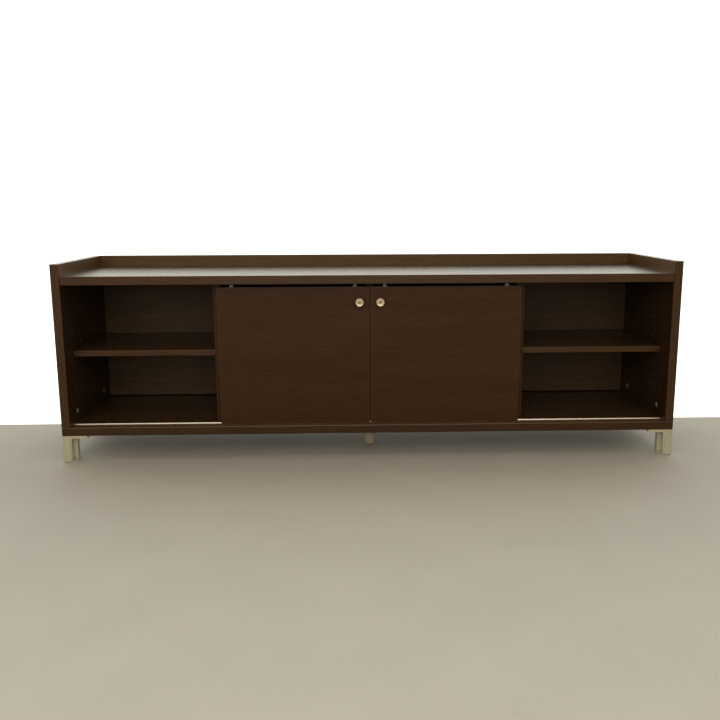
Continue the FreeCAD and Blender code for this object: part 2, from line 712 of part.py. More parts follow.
def roller_housing():
    """A cup let into the door's lower edge, open below, with a screw tab at each end."""
    body = doc.addObject("PartDesign::Body", "RollerHousing")
    for length, high in (("housing_length", "housing_height"), ("flange_length", "flange_thickness")):
        plan = new_sketch(body, "XY_Plane")
        rectangle(plan, f"-{length}/2", "-housing_width/2", length, "housing_width")
        pad(body, plan, high)
    slot = new_sketch(body, "XY_Plane")
    rectangle(slot, "housing_wall - housing_length/2", "housing_wall - housing_width/2",
              "housing_length - 2*housing_wall", "housing_width - 2*housing_wall")
    pocket(body, slot, "housing_height - housing_wall", reverse=True)
    axle_hole = new_sketch(body, "XZ_Plane", "-housing_width/2")
    circle(axle_hole, "0", "roller_axis - door_seat", "axle_dia + 2*axle_play")
    pocket(body, axle_hole, "housing_width", reverse=True)
    for diameter, deep in (("small_screw_head_dia + 2*fit_gap", "small_screw_head_height"),
                           (SMALL_SCREW_HOLE, "flange_thickness")):
        holes = new_sketch(body, "XY_Plane")
        for x in mirrored(["flange_length/2 - roller_screw_margin"]):
            circle(holes, x, "0", diameter)
        pocket(body, holes, deep, reverse=True)
    return body


def roller(label, x):
    """A grooved nylon wheel that straddles the rail's crown with a running gap all round."""
    groove = doc.addObject("Part::Torus", "Groove")
    bind(groove, Radius1="roller_tread + running_gap + rail_radius", Radius2="rail_radius + running_gap")
    wheel = cut(cut(cylinder("roller_dia", "roller_width", "-roller_width/2"), groove),
                cylinder("axle_dia + 2*axle_play", "roller_width", "-roller_width/2"))
    wheel.Placement = Placement(Vector(), TO_FRONT)
    return finished(label, wheel, x, "door_line", "roller_axis")


housing_pattern = roller_housing()
for side, sign in DOORS.items():
    lock_x = f"{sign}lock_inset"
    roller_xs = {"outer": f"{sign}(roller_outer)", "inner": f"{sign}(roller_inner)"}
    door = Board(f"{side}_door", (DOOR_LEFT_EDGE[side], "door_front", "door_low"),
                 "door_width", "door_board", "door_height")
    door.groove("bottom", (DOOR_LEFT_EDGE[side], "door_front + door_lip_thickness"), "door_width",
                "door_board - door_lip_thickness", "door_lip")
    door.bores("front", [(lock_x, "lock_height")], BARREL_HOLE, "door_board")
    door.bores("back", [(lock_x, "lock_height")], NUT_RECESS, "nut_thickness")
    door.bores("top", [(x, "door_line") for x in roller_xs.values()],
               "guide_plug_dia + 2*fit_gap", "guide_plug_depth + fit_gap")
    screw_places = []
    for position, x in roller_xs.items():
        for length, deep in (("housing_length", "housing_height"), ("flange_length", "flange_thickness")):
            door.groove("bottom", (f"{x} - {length}/2 - fit_gap", f"door_line - ({HOUSING_HOLE_WIDTH})/2"),
                        f"{length} + 2*fit_gap", HOUSING_HOLE_WIDTH, f"door_lip + {deep} + fit_gap")
        screw_places += [(f"{x} + {reach}", "door_line", "door_seat", UP)
                         for reach in mirrored(["flange_length/2 - roller_screw_margin"])]
        roller(f"{side}_door_{position}_roller", x)
    door.bores("bottom", [spot[:2] for spot in screw_places], SMALL_SCREW_HOLE,
               "door_lip + small_screw_length + small_screw_head_height + fit_gap")
    housing_places = [(x, "door_line", "door_seat") for x in roller_xs.values()]
    copies(f"{side}_door_roller_housings", housing_pattern, housing_places)
    copies(f"{side}_door_roller_axles", axle_pattern,
           [(x, "door_line", "roller_axis", TO_BACK) for x in roller_xs.values()])
    copies(f"{side}_door_roller_screws", small_screw, screw_places)
    copies(f"{side}_door_top_guides", guide_pattern,
           [(x, "door_line", "door_top") for x in roller_xs.values()])

# Rubber buffers on the side panels end the doors' travel.
BUMPER_HEIGHTS = ["door_seat + bumper_margin", "door_top - bumper_margin"]
copies("door_bumpers", cylinder("bumper_dia", "bumper_thickness"),
       [(x, "door_line", z, turn) for z in BUMPER_HEIGHTS
        for x, turn in (("-(inner_half)", TO_RIGHT), ("inner_half", TO_LEFT))])

# ---------------------------------------------------------------- locks
# The key turns a plug in the fixed knob. A quarter turn swings a hook cam behind the door
# down from upright to level, over a strike pin on the front edge of the centre partition.
SLOT_ANGLE = "slot_half/hook_radius*180/pi"
plug_face = "door_front - knob_reach + plug_sink"

for side, sign in DOORS.items():
    lock_x = f"{sign}lock_inset"

    knob = new_body(f"{side}_lock_knob")
    profile = new_sketch(knob, "XY_Plane")
    outline(profile, [("plug_dia/2 + axle_play", "-knob_reach"),
                      ("knob_dia/2 - edge_break", "-knob_reach"),
                      ("knob_dia/2", "edge_break - knob_reach"),
                      ("knob_dia/2", "knob_rim - knob_reach"),
                      ("knob_waist_dia/2", "knob_rim + knob_cone - knob_reach"),
                      ("knob_waist_dia/2", "-knob_cone"), ("knob_foot_dia/2", "-edge_break"),
                      ("knob_foot_dia/2", "0"), ("barrel_dia/2", "0"), ("barrel_dia/2", "door_board"),
                      ("plug_dia/2 + axle_play", "door_board")])
    revolve(knob, profile)
    place(knob, lock_x, "door_front", "lock_height")

    hexagon = doc.addObject("Part::Prism", "Hexagon")
    hexagon.Polygon = 6
    bind(hexagon, Circumradius="nut_width/2", Height="nut_thickness")
    nut = cut(hexagon, cylinder("barrel_dia + 2*axle_play", "nut_thickness"))
    nut.Placement = Placement(Vector(), TO_FRONT)
    finished(f"{side}_lock_nut", nut, lock_x, "door_back", "lock_height")

    plug = new_body(f"{side}_lock_plug")
    face = new_sketch(plug, "XZ_Plane")
    circle(face, "0", "0", "plug_dia")
    pad(plug, face, "plug_length", reverse=True)
    square = new_sketch(plug, "XZ_Plane", "-(plug_length)")
    rectangle(square, "-cam_square/2", "-cam_square/2", "cam_square", "cam_square")
    pad(plug, square, "cam_thickness", reverse=True)
    key_slot = new_sketch(plug, "XZ_Plane")
    rectangle(key_slot, "-key_slot_width/2", "-key_slot_length/2", "key_slot_width", "key_slot_length")
    pocket(plug, key_slot, "key_slot_depth")
    screw_hole = new_sketch(plug, "XZ_Plane", "-(plug_length + cam_thickness)")
    circle(screw_hole, "0", "0", SMALL_SCREW_HOLE)
    pocket(plug, screw_hole, "small_screw_length + fit_gap", reverse=True)
    place(plug, lock_x, plug_face, "lock_height")

    hook_start = {"left": "90 - hook_lead", "right": "90 - hook_root"}[side]
    slot_start = {"left": "90 - 2*hook_lead", "right": f"90 - {SLOT_ANGLE}"}[side]
    slot_sweep = f"2*hook_lead + {SLOT_ANGLE}"
    slot = cut(sector("hook_radius + slot_half", slot_start, slot_sweep),
               cylinder("2*(hook_radius - slot_half)", "cam_thickness"))
    hook = cut(sector("hook_radius + slot_half + hook_finger", hook_start, "hook_lead + hook_root"), slot)
    cam = cut(fuse(hook, cylinder("cam_hub_dia", "cam_thickness")),
              box("cam_square + 2*fit_gap", "cam_square + 2*fit_gap", "cam_thickness",
                  "-cam_square/2 - fit_gap", "-cam_square/2 - fit_gap"))
    cam.Placement = Placement(Vector(), TO_FRONT)
    finished(f"{side}_lock_cam", cam, lock_x, "door_back + cam_gap + cam_thickness", "lock_height")

    cam_screw = screw("cam_screw_head_dia", "cam_screw_head_height", "small_screw_dia", "small_screw_length")
    cam_screw.Placement = Placement(Vector(), TO_FRONT)
    finished(f"{side}_lock_cam_screw", cam_screw, lock_x,
             "door_back + cam_gap + cam_thickness + cam_screw_head_height", "lock_height")

strike = new_body("lock_strike")
plate = new_sketch(strike, "XZ_Plane")
rectangle(plate, "-strike_width/2", "-strike_height/2", "strike_width", "strike_height")
pad(strike, plate, "strike_thickness", reverse=True)
pins = new_sketch(strike, "XZ_Plane")
for x in mirrored(["strike_pin_x"]):
    circle(pins, x, "0", "strike_pin_dia")
pad(strike, pins, "strike_face - door_back - strike_pin_gap")
holes = new_sketch(strike, "XZ_Plane")
for z in STRIKE_SCREWS:
    circle(holes, "0", z, SMALL_SCREW_HOLE)
pocket(strike, holes, "strike_thickness")
place(strike, "0", "strike_face", "lock_height")
copies("strike_screws", small_screw,
       [("0", "strike_face - small_screw_head_height", f"lock_height + {z}", TO_BACK)
        for z in STRIKE_SCREWS])

# ---------------------------------------------------------------- corner legs
# Each leg is one casting: a square plate under the corner, an angle that drops flush with
# the two outer faces, and a square post behind it that holds the levelling foot.
PLATE_UNDERSIDE = "leg_height - leg_plate_thickness"
FOOT_TOP = "foot_thickness + foot_gap"
POST_X, POST_Y = "post_side_inset + post_size/2", "post_front_inset + post_size/2"


def corner_leg(label, flip, x, y, turned):
    """A leg drawn from its outer front corner, or from its inner one if it is flipped."""

    def along(start, wide):
        return f"leg_plate - ({start}) - ({wide})" if flip else start

    leg = new_body(label)
    plan = new_sketch(leg, "XY_Plane", PLATE_UNDERSIDE)
    rectangle(plan, "0", "0", "leg_plate", "leg_plate")
    pad(leg, plan, "leg_plate_thickness")
    drops = [("0", "0", "leg_angle", "leg_angle_thickness", "leg_floor_gap"),
             ("0", "0", "leg_angle_thickness", "leg_angle", "leg_floor_gap"),
             ("post_side_inset", "post_front_inset", "post_size", "post_size", FOOT_TOP)]
    for left, near, wide, deep, low in drops:
        plan = new_sketch(leg, "XY_Plane", PLATE_UNDERSIDE)
        rectangle(plan, along(left, wide), near, wide, deep)
        pad(leg, plan, f"{PLATE_UNDERSIDE} - ({low})", reverse=True)
    bore = new_sketch(leg, "XY_Plane", FOOT_TOP)
    circle(bore, along(POST_X, "0"), POST_Y, "foot_stud_dia + 2*axle_play")
    pocket(leg, bore, "foot_bore_depth", reverse=True)
    holes = new_sketch(leg, "XY_Plane", PLATE_UNDERSIDE)
    far = "leg_plate - leg_screw_margin"
    for hole_x, hole_y in ((far, far), (far, "leg_screw_margin"), ("leg_screw_margin", far)):
        circle(holes, along(hole_x, "0"), hole_y, SCREW_HOLE)
    pocket(leg, holes, "leg_plate_thickness", reverse=True)
    if turned:
        leg.Placement = Placement(Vector(), Rotation(Vector(0, 0, 1), 180))
    place(leg, x, y)


def turned_foot(label, disc_dia, disc_height, stud_dia, x, y):
    """A levelling foot: a disc on the floor and the stud that it is screwed up by."""
    foot = new_body(label)
    profile = new_sketch(foot, "XZ_Plane")
    stud_top = f"{disc_height} + foot_stud_length"
    outline(profile, [("0", "0"), (f"{disc_dia}/2", "0"), (f"{disc_dia}/2", f"{disc_height} - edge_break"),
                      (f"{disc_dia}/2 - edge_break", disc_height), (f"{stud_dia}/2", disc_height),
                      (f"{stud_dia}/2", stud_top), ("0", stud_top)])
    revolve(foot, profile)
    place(foot, x, y)


corner_leg("front_left_leg", False, "-width/2", "front", turned=False)
corner_leg("front_right_leg", True, "width/2 - leg_plate", "front", turned=False)
corner_leg("back_left_leg", True, "leg_plate - width/2", "back", turned=True)
corner_leg("back_right_leg", False, "width/2", "back", turned=True)
for side, sign in DOORS.items():
    for end, post_y in (("front", f"front + {POST_Y}"), ("back", f"back - ({POST_Y})")):
        turned_foot(f"{end}_{side}_foot", "foot_dia", "foot_thickness", "foot_stud_dia",
                    f"{sign}(width/2 - ({POST_X}))", post_y)

# ---------------------------------------------------------------- centre leg
centre_leg = new_body("centre_leg")
CENTRE_FOOT_TOP = "centre_foot_height + foot_gap"
CENTRE_FLANGE_LOW = "leg_height - centre_leg_flange_thickness"
for diameter, low in (("centre_leg_dia", CENTRE_FOOT_TOP), ("centre_leg_flange_dia", CENTRE_FLANGE_LOW)):
    plan = new_sketch(centre_leg, "XY_Plane", low)
    circle(plan, "0", "0", diameter)
    pad(centre_leg, plan, f"leg_height - ({low})")
hollow = new_sketch(centre_leg, "XY_Plane", "leg_height")
circle(hollow, "0", "0", "centre_leg_dia - 2*centre_leg_wall")
pocket(centre_leg, hollow, f"leg_height - ({CENTRE_FOOT_TOP}) - centre_nut_thickness")
bore = new_sketch(centre_leg, "XY_Plane", CENTRE_FOOT_TOP)
circle(bore, "0", "0", "centre_foot_stud_dia + 2*axle_play")
pocket(centre_leg, bore, "centre_nut_thickness", reverse=True)
holes = new_sketch(centre_leg, "XY_Plane", "leg_height")
for x, y in centre_leg_screw_spots():
    circle(holes, x, f"({y}) - (centre_leg_y)", SCREW_HOLE)
pocket(centre_leg, holes, "centre_leg_flange_thickness")
place(centre_leg, "0", "centre_leg_y")
turned_foot("centre_foot", "centre_leg_dia", "centre_foot_height", "centre_foot_stud_dia",
            "0", "centre_leg_y")

wood_screw = screw("screw_head_dia", "screw_head_height", "screw_dia", "screw_length")
copies("leg_screws", wood_screw,
       [(x, y, f"{PLATE_UNDERSIDE} - screw_head_height", UP) for x, y in leg_screw_spots()])
copies("centre_leg_screws", wood_screw,
       [(x, y, f"{CENTRE_FLANGE_LOW} - screw_head_height", UP) for x, y in centre_leg_screw_spots()])

# ---------------------------------------------------------------- check and export
doc.recompute()
for item in doc.Objects:
    if {"Invalid", "Error"} & set(item.State):
        raise RuntimeError(f"{item.Label} did not compute: {item.State}")
for part in parts:
    if part.Shape.isNull() or not part.Shape.isValid():
        raise RuntimeError(f"{part.Label} has no valid shape")
os.makedirs("parts", exist_ok=True)
for part in parts:
    part.Shape.exportStep(f"parts/{part.Label}.step")
print(f"{len(parts)} sub-parts written")
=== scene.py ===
# %% [markdown]
# # An office credenza with sliding doors
# The real cabinet is made of particle board faced with a dark wood print, with a plastic band glued
# on each edge. Two doors roll on a rail, and it stands on cast metal legs. The CAD model already
# holds each piece at its place, so this lesson dresses it: boards get their edge bands and softened
# edges, the metal pieces get their rounded rims, and every surface gets the finish of its material.
# The first cell loads the CAD pieces and defines the tools that measure the boxes they fill.

# %% Load the frame
import math

import bpy
from mathutils import Matrix, Vector


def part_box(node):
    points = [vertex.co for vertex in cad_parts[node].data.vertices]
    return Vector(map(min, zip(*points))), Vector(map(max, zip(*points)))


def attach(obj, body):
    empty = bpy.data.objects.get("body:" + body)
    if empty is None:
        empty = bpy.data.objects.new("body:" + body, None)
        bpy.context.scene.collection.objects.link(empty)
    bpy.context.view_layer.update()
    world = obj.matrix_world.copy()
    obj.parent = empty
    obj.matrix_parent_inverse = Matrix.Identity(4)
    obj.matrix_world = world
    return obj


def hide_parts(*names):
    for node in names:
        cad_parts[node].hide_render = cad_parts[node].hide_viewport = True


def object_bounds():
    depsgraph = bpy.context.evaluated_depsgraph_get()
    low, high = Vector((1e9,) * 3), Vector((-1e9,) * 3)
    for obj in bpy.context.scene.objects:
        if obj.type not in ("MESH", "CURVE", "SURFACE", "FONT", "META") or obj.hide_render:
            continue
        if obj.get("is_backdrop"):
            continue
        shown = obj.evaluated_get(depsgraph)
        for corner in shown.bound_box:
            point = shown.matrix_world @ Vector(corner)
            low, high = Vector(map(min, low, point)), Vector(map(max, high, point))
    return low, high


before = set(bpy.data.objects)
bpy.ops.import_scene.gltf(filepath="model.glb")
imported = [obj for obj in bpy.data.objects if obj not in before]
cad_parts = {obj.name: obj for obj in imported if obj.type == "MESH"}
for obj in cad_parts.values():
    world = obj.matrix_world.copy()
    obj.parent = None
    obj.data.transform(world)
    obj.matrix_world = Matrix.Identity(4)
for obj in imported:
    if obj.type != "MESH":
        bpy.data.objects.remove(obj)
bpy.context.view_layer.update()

# %% [markdown]
# All places here are in metres, as in the CAD model, but a cabinet maker thinks in millimetres, so
# `MM` turns one into the other. An operator acts on everything that is selected. That is why each
# piece starts from an empty selection, and why it is picked again before a modifier is applied.

# %% Bench tools: picking pieces up and putting them down
MM = 0.001
HAIR = 1e-6               # places closer than this, in metres, count as the same


def put_down():
    """Leave edit mode and select nothing."""
    if bpy.context.object and bpy.context.object.mode != "OBJECT":
        bpy.ops.object.mode_set(mode="OBJECT")
    bpy.ops.object.select_all(action="DESELECT")


def take(piece):
    """Select one piece alone."""
    put_down()
    piece.select_set(True)
    bpy.context.view_layer.objects.active = piece


def pick(piece, kind, test):
    """Go into edit mode with only the faces or edges selected that pass a test."""
    take(piece)
    bpy.ops.object.mode_set(mode="EDIT")
    bpy.ops.mesh.select_mode(type=kind)
    bpy.ops.mesh.select_all(action="DESELECT")
    bpy.ops.object.mode_set(mode="OBJECT")
    for item in piece.data.polygons if kind == "FACE" else piece.data.edges:
        item.select = test(item)
    bpy.ops.object.mode_set(mode="EDIT")


def apply_modifier(piece, kind, **settings):
    """Add a modifier with its settings, and apply it."""
    take(piece)
    modifier = piece.modifiers.new(kind.title(), kind)
    for name, value in settings.items():
        setattr(modifier, name, value)
    bpy.ops.object.modifier_apply(modifier=modifier.name)


put_down()
print("nothing is selected:", not bpy.context.selected_objects)

# %% [markdown]
# A board starts as a cube that is stretched between two corners. Applying its transform puts the
# place into the mesh and leaves the object at the origin, so that wood grain, which is drawn in
# object coordinates, keeps its real scale. Holes are cut with a Boolean modifier. The cutter's own
# material is carried over, so the wall of a hole can show the bare particle board. A scored line
# splits faces, so that the strip beyond it can get a shape or a finish of its own.

# %% Bench tools: blocks, cylinders and cuts
SPILL = 1 * MM            # how far a cutter reaches out of a board, so that no skin is left


def block(name, low, high):
    """A box between two corners."""
    low, high = Vector(low), Vector(high)
    put_down()
    bpy.ops.mesh.primitive_cube_add(size=1, location=(low + high) / 2)
    piece = bpy.context.object
    piece.name = name
    piece.scale = high - low
    bpy.ops.object.transform_apply(location=True, rotation=True, scale=True)
    return piece


AXIS_TURNS = {"X": (0, math.pi / 2, 0), "Y": (math.pi / 2, 0, 0), "Z": (0, 0, 0)}


def rod(name, middle, radius, length, axis, sides=24):
    """A plain cylinder about a point, used as a cutter."""
    put_down()
    bpy.ops.mesh.primitive_cylinder_add(vertices=sides, radius=radius, depth=length,
                                        location=middle, rotation=AXIS_TURNS[axis])
    piece = bpy.context.object
    piece.name = name
    bpy.ops.object.transform_apply(location=True, rotation=True, scale=True)
    return piece


def joined(name, pieces):
    """Several pieces made into one mesh."""
    put_down()
    for piece in pieces:
        piece.select_set(True)
    bpy.context.view_layer.objects.active = pieces[0]
    if len(pieces) > 1:
        bpy.ops.object.join()
    pieces[0].name = name
    return pieces[0]


def cut_away(piece, tool, finish):
    """Cut a tool out of a piece. The walls of the cut get a finish of their own."""
    tool.data.materials.clear()
    tool.data.materials.append(finish)
    apply_modifier(piece, "BOOLEAN", operation="DIFFERENCE", object=tool, solver="EXACT",
                   material_mode="TRANSFER")
    bpy.data.objects.remove(tool)


def score(piece, axis, place):
    """Score a line round a piece where a plane square to axis 0, 1 or 2 meets it."""
    normal, point = Vector((0, 0, 0)), Vector((0, 0, 0))
    normal[axis], point[axis] = 1, place
    pick(piece, "FACE", lambda face: True)
    bpy.ops.mesh.bisect(plane_co=point, plane_no=normal)
    put_down()


SMOOTH_ANGLE = math.radians(30)
ROUND_ANGLE = math.radians(35)


def smooth(piece):
    """Shade the rounded rims smooth and keep the broad faces flat."""
    take(piece)
    bpy.ops.object.shade_smooth_by_angle(angle=SMOOTH_ANGLE)
    apply_modifier(piece, "WEIGHTED_NORMAL", keep_sharp=True, weight=100)


def soften(piece, width_mm, segments=2):
    """Round each edge that is sharper than 35 degrees, and shade the result smooth."""
    apply_modifier(piece, "BEVEL", width=width_mm * MM, segments=segments, limit_method="ANGLE",
                   angle_limit=ROUND_ANGLE, use_clamp_overlap=True)
    smooth(piece)


print("tools: block, rod, joined, cut_away, score, smooth and soften")

# %% [markdown]
# Knobs, feet and guide pins are turned parts. On a lathe their outline is cut step by step, and the
# same way works here: a disc is drawn up ring by ring, each time extruded to the next height and
# scaled to the next radius. Extruding the face keeps the solid closed at both ends. Where a bore goes
# all the way through, the outline comes back to its first ring, and the two end faces are taken out.

# %% Bench tools: turned parts
def turned(name, outline, foot, axis="Z", sides=48, bored=False):
    """A round solid from (radius, height) steps in millimetres, standing on a point along an axis."""
    radius, height = outline[0]
    put_down()
    bpy.ops.mesh.primitive_circle_add(vertices=sides, radius=radius * MM, fill_type="NGON",
                                      location=(0, 0, height * MM))
    piece = bpy.context.object
    piece.name = name
    bpy.ops.object.transform_apply(location=True, rotation=True, scale=True)
    bpy.ops.object.mode_set(mode="EDIT")
    bpy.ops.mesh.select_mode(type="FACE")
    bpy.ops.mesh.select_all(action="SELECT")
    for next_radius, next_height in outline[1:]:
        lift = (next_height - height) * MM
        bpy.ops.mesh.extrude_region_move(TRANSFORM_OT_translate={"value": (0, 0, lift)})
        grow = next_radius / radius
        bpy.ops.transform.resize(value=(grow, grow, 1), center_override=(0, 0, 0))
        radius, height = next_radius, next_height
    if bored:
        pick(piece, "FACE", lambda face: len(face.vertices) == sides)
        bpy.ops.mesh.delete(type="ONLY_FACE")
    bpy.ops.mesh.select_all(action="SELECT")
    bpy.ops.mesh.remove_doubles(threshold=HAIR)
    bpy.ops.mesh.normals_make_consistent(inside=False)
    bpy.ops.object.mode_set(mode="OBJECT")
    piece.rotation_euler = AXIS_TURNS[axis]
    piece.location = foot
    bpy.ops.object.transform_apply(location=True, rotation=True, scale=True)
    return piece


def another(piece, name, shift=(0, 0, 0), mirror=(1, 1, 1)):
    """A copy with a mesh of its own, mirrored through the origin planes and moved."""
    take(piece)
    bpy.ops.object.duplicate(linked=False)
    copy = bpy.context.object
    copy.name = name
    copy.scale = mirror
    copy.location = shift
    bpy.ops.object.transform_apply(location=True, rotation=True, scale=True)
    bpy.ops.object.mode_set(mode="EDIT")
    bpy.ops.mesh.select_all(action="SELECT")
    bpy.ops.mesh.normals_make_consistent(inside=False)
    bpy.ops.object.mode_set(mode="OBJECT")
    return copy


test_cup = turned("test_cup", [(3, 8), (3, 2), (5, 2), (5, 10)], (0, 0, 0), sides=16)
print("a small turned test cup has", len(test_cup.data.polygons), "faces")
bpy.data.objects.remove(test_cup)

# %% [markdown]
# ## Camera, room and light
# The cabinet is seen from a little left of its middle, from 0.74 m above the floor and 2.2 m in
# front of it, with the camera tilted ten degrees down. The lens covers 49 degrees. Its small shift
# stands for a frame that was cropped a little off the middle.

# %% Camera
LENS_PIXELS = 782.7       # focal length in pixels of the 720 pixel frame
FRAME_PIXELS = 720
OPTICAL_MIDDLE = (372.6, 347.6)
FILM_WIDTH = 36           # millimetres
CAMERA_PLACE = (-0.0555, -2.4234, 0.7396)
HEADING, TILT, ROLL = math.radians(-1.598), math.radians(10.297), math.radians(-0.184)

camera_data = bpy.data.cameras.new("camera")
camera = bpy.data.objects.new("camera", camera_data)
bpy.context.scene.collection.objects.link(camera)
camera_data.sensor_width = FILM_WIDTH
camera_data.lens = FILM_WIDTH * LENS_PIXELS / FRAME_PIXELS
camera_data.shift_x = (FRAME_PIXELS / 2 - OPTICAL_MIDDLE[0]) / FRAME_PIXELS
camera_data.shift_y = (OPTICAL_MIDDLE[1] - FRAME_PIXELS / 2) / FRAME_PIXELS
camera.matrix_world = (Matrix.Translation(CAMERA_PLACE) @ Matrix.Rotation(HEADING, 4, "Z")
                       @ Matrix.Rotation(math.pi / 2 - TILT, 4, "X")
                       @ Matrix.Rotation(ROLL, 4, "Z"))
bpy.context.scene.camera = camera
print(f"lens {camera_data.lens:.2f} mm, shift {camera_data.shift_x:.4f} {camera_data.shift_y:.4f}")

# %% [markdown]
# Finishes are written as node trees. `add_node` adds one node with its settings and links. Several
# nodes have more than one socket of the same name and show only those that suit their setting, so
# `feed` looks among the enabled ones. `srgb` turns a hex colour, as read off a colour card, into the
# linear values that the shader wants. A pattern's scale counts its features per metre, so `per_metre`
# works it out from the real size of one feature.

# %% Material tools
def srgb(code):
    """A hex colour as linear red, green, blue and alpha."""
    channels = [int(code[i:i + 2], 16) / 255 for i in (1, 3, 5)]
    return tuple(c / 12.92 if c <= 0.04045 else ((c + 0.055) / 1.055) ** 2.4 for c in channels) + (1,)


def per_metre(size_mm):
    """The scale of a pattern whose features are that many millimetres wide."""
    return 1000 / size_mm


def feed(node, key, value):
    """Set an input to a value, or to what a socket or the first output of another node gives."""
    socket = node.inputs[key] if isinstance(key, int) else \
        next(s for s in node.inputs if s.enabled and s.name == key)
    if isinstance(value, bpy.types.Node):
        value = next(s for s in value.outputs if s.enabled)
    if isinstance(value, bpy.types.NodeSocket):
        node.id_data.links.new(value, socket)
    else:
        socket.default_value = value


def add_node(tree, kind, inputs=None, **settings):
    """A node with its settings and its inputs fed."""
    node = tree.nodes.new(kind)
    for name, value in settings.items():
        setattr(node, name, value)
    for key, value in (inputs or {}).items():
        feed(node, key, value)
    return node


def new_finish(name, **shader_inputs):
    """An empty finish: its tree, its shader, and a place on the object to hang patterns on."""
    finish = bpy.data.materials.new(name)
    finish.use_nodes = True
    tree = finish.node_tree
    shader = tree.nodes["Principled BSDF"]
    for key, value in shader_inputs.items():
        feed(shader, key.replace("_", " "), value)
    where = add_node(tree, "ShaderNodeTexCoord").outputs["Object"]
    return finish, tree, shader, where


print("brown of the print, linear:", [round(c, 4) for c in srgb("#3E2B1C")[:3]])

# %% [markdown]
# The room has a bright white wall behind the cabinet and is dim in front of it. The wall matters:
# the top is seen at only five degrees, where even a matt laminate mirrors what stands behind it.
# A wall mesh would hide the cabinet from behind, so the light of the wall comes from the world: its
# brightness rises towards the back. The floor is a plain pale sheet that ends where the wall stands.

# %% World and floor
WALL_STARTS, WALL_FULL = -0.2, 0.35     # how far backwards a direction points
DIM, BRIGHT = 0.5, 1.85
FLOOR_MIDDLE, FLOOR_SIZE = (0, -1.9, 0), (9, 4.24, 1)

world = bpy.data.worlds.new("room")
bpy.context.scene.world = world
world.use_nodes = True
room = world.node_tree
background = room.nodes["Background"]
split = add_node(room, "ShaderNodeSeparateXYZ",
                 {"Vector": add_node(room, "ShaderNodeTexCoord").outputs["Generated"]})
to_wall = add_node(room, "ShaderNodeMapRange", {
    "Value": split.outputs["Y"], "From Min": WALL_STARTS, "From Max": WALL_FULL},
    interpolation_type="SMOOTHSTEP")
feed(background, "Color", add_node(room, "ShaderNodeMix", {
    "Factor": to_wall, "A": srgb("#FFE3BE"), "B": srgb("#FFFFF2")}, data_type="RGBA"))
feed(background, "Strength", add_node(room, "ShaderNodeMapRange", {
    "Value": to_wall, "To Min": DIM, "To Max": BRIGHT}))

floor_finish, tree, shader, where = new_finish("pale_sealed_floor", Roughness=0.85)
mottle = add_node(tree, "ShaderNodeTexNoise", {"Vector": where, "Scale": 6.0, "Detail": 4.0})
feed(shader, "Base Color", add_node(tree, "ShaderNodeMix", {
    "Factor": mottle, "A": srgb("#8F8E8B"), "B": srgb("#979693")}, data_type="RGBA"))
put_down()
bpy.ops.mesh.primitive_plane_add(size=1, location=FLOOR_MIDDLE)
floor = bpy.context.object
floor.name = "floor"
floor.scale = FLOOR_SIZE
bpy.ops.object.transform_apply(location=True, rotation=True, scale=True)
floor.data.materials.append(floor_finish)
floor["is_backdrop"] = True
print("floor ends at y =", round(max(v.co.y for v in floor.data.vertices), 3))

# %% [markdown]
# A very large soft box stands in front, a little to the left, and a weaker one hangs above. Their
# warm light keeps the brown of the wood rich, and their size makes it nearly shadowless, as in an
# office.

# %% Lamps
def soft_box(name, place, aim, wide, high, watts):
    """A warm rectangular lamp that shines from a place towards another."""
    lamp_data = bpy.data.lights.new(name, "AREA")
    lamp_data.shape = "RECTANGLE"
    lamp_data.size, lamp_data.size_y = wide, high
    lamp_data.energy = watts
    lamp_data.color = srgb("#FFF2DF")[:3]
    lamp = bpy.data.objects.new(name, lamp_data)
    bpy.context.scene.collection.objects.link(lamp)
    lamp.location = place
    lamp.rotation_euler = (Vector(aim) - Vector(place)).to_track_quat("-Z", "Y").to_euler()


soft_box("ceiling_light", (0.2, -1.7, 2.6), (0, -0.1, 0.3), wide=3.2, high=1.6, watts=20)
soft_box("front_light", (-0.4, -4.2, 1.8), (0, 0, 0.3), wide=4.4, high=2.2, watts=118)
bpy.context.scene.view_settings.view_transform = "Standard"
print("two lamps and the room")

# %% [markdown]
# ## Finishes
# ### Wood print on melamine
# The boards are faced with paper that is printed with dark wood and pressed under melamine resin.
# Up close that gives three things: soft bands of figure about 45 mm wide, fine streaks along the
# grain, and pores like dark dashes that are also pressed into the surface. Real streaks are 2 mm
# wide and real pores 0.5 mm by 15 mm. Both are drawn a little coarser here, so that they show.
# The grain runs along the length of each board, so the finish is made for both directions. Doors
# and back are cut from sheets of other batches, so each has a tone of its own. The gallery and the
# rim get a lighter print, which is painted light on these faces above the top.

# %% Melamine with wood print
FIGURE, STREAK, PORE = (45, 600), (3, 90), (0.9, 16)    # millimetres across and along the grain
SHEET_TURNS = {"X": (0, 0, 0), "Z": (0, math.pi / 2, 0)}


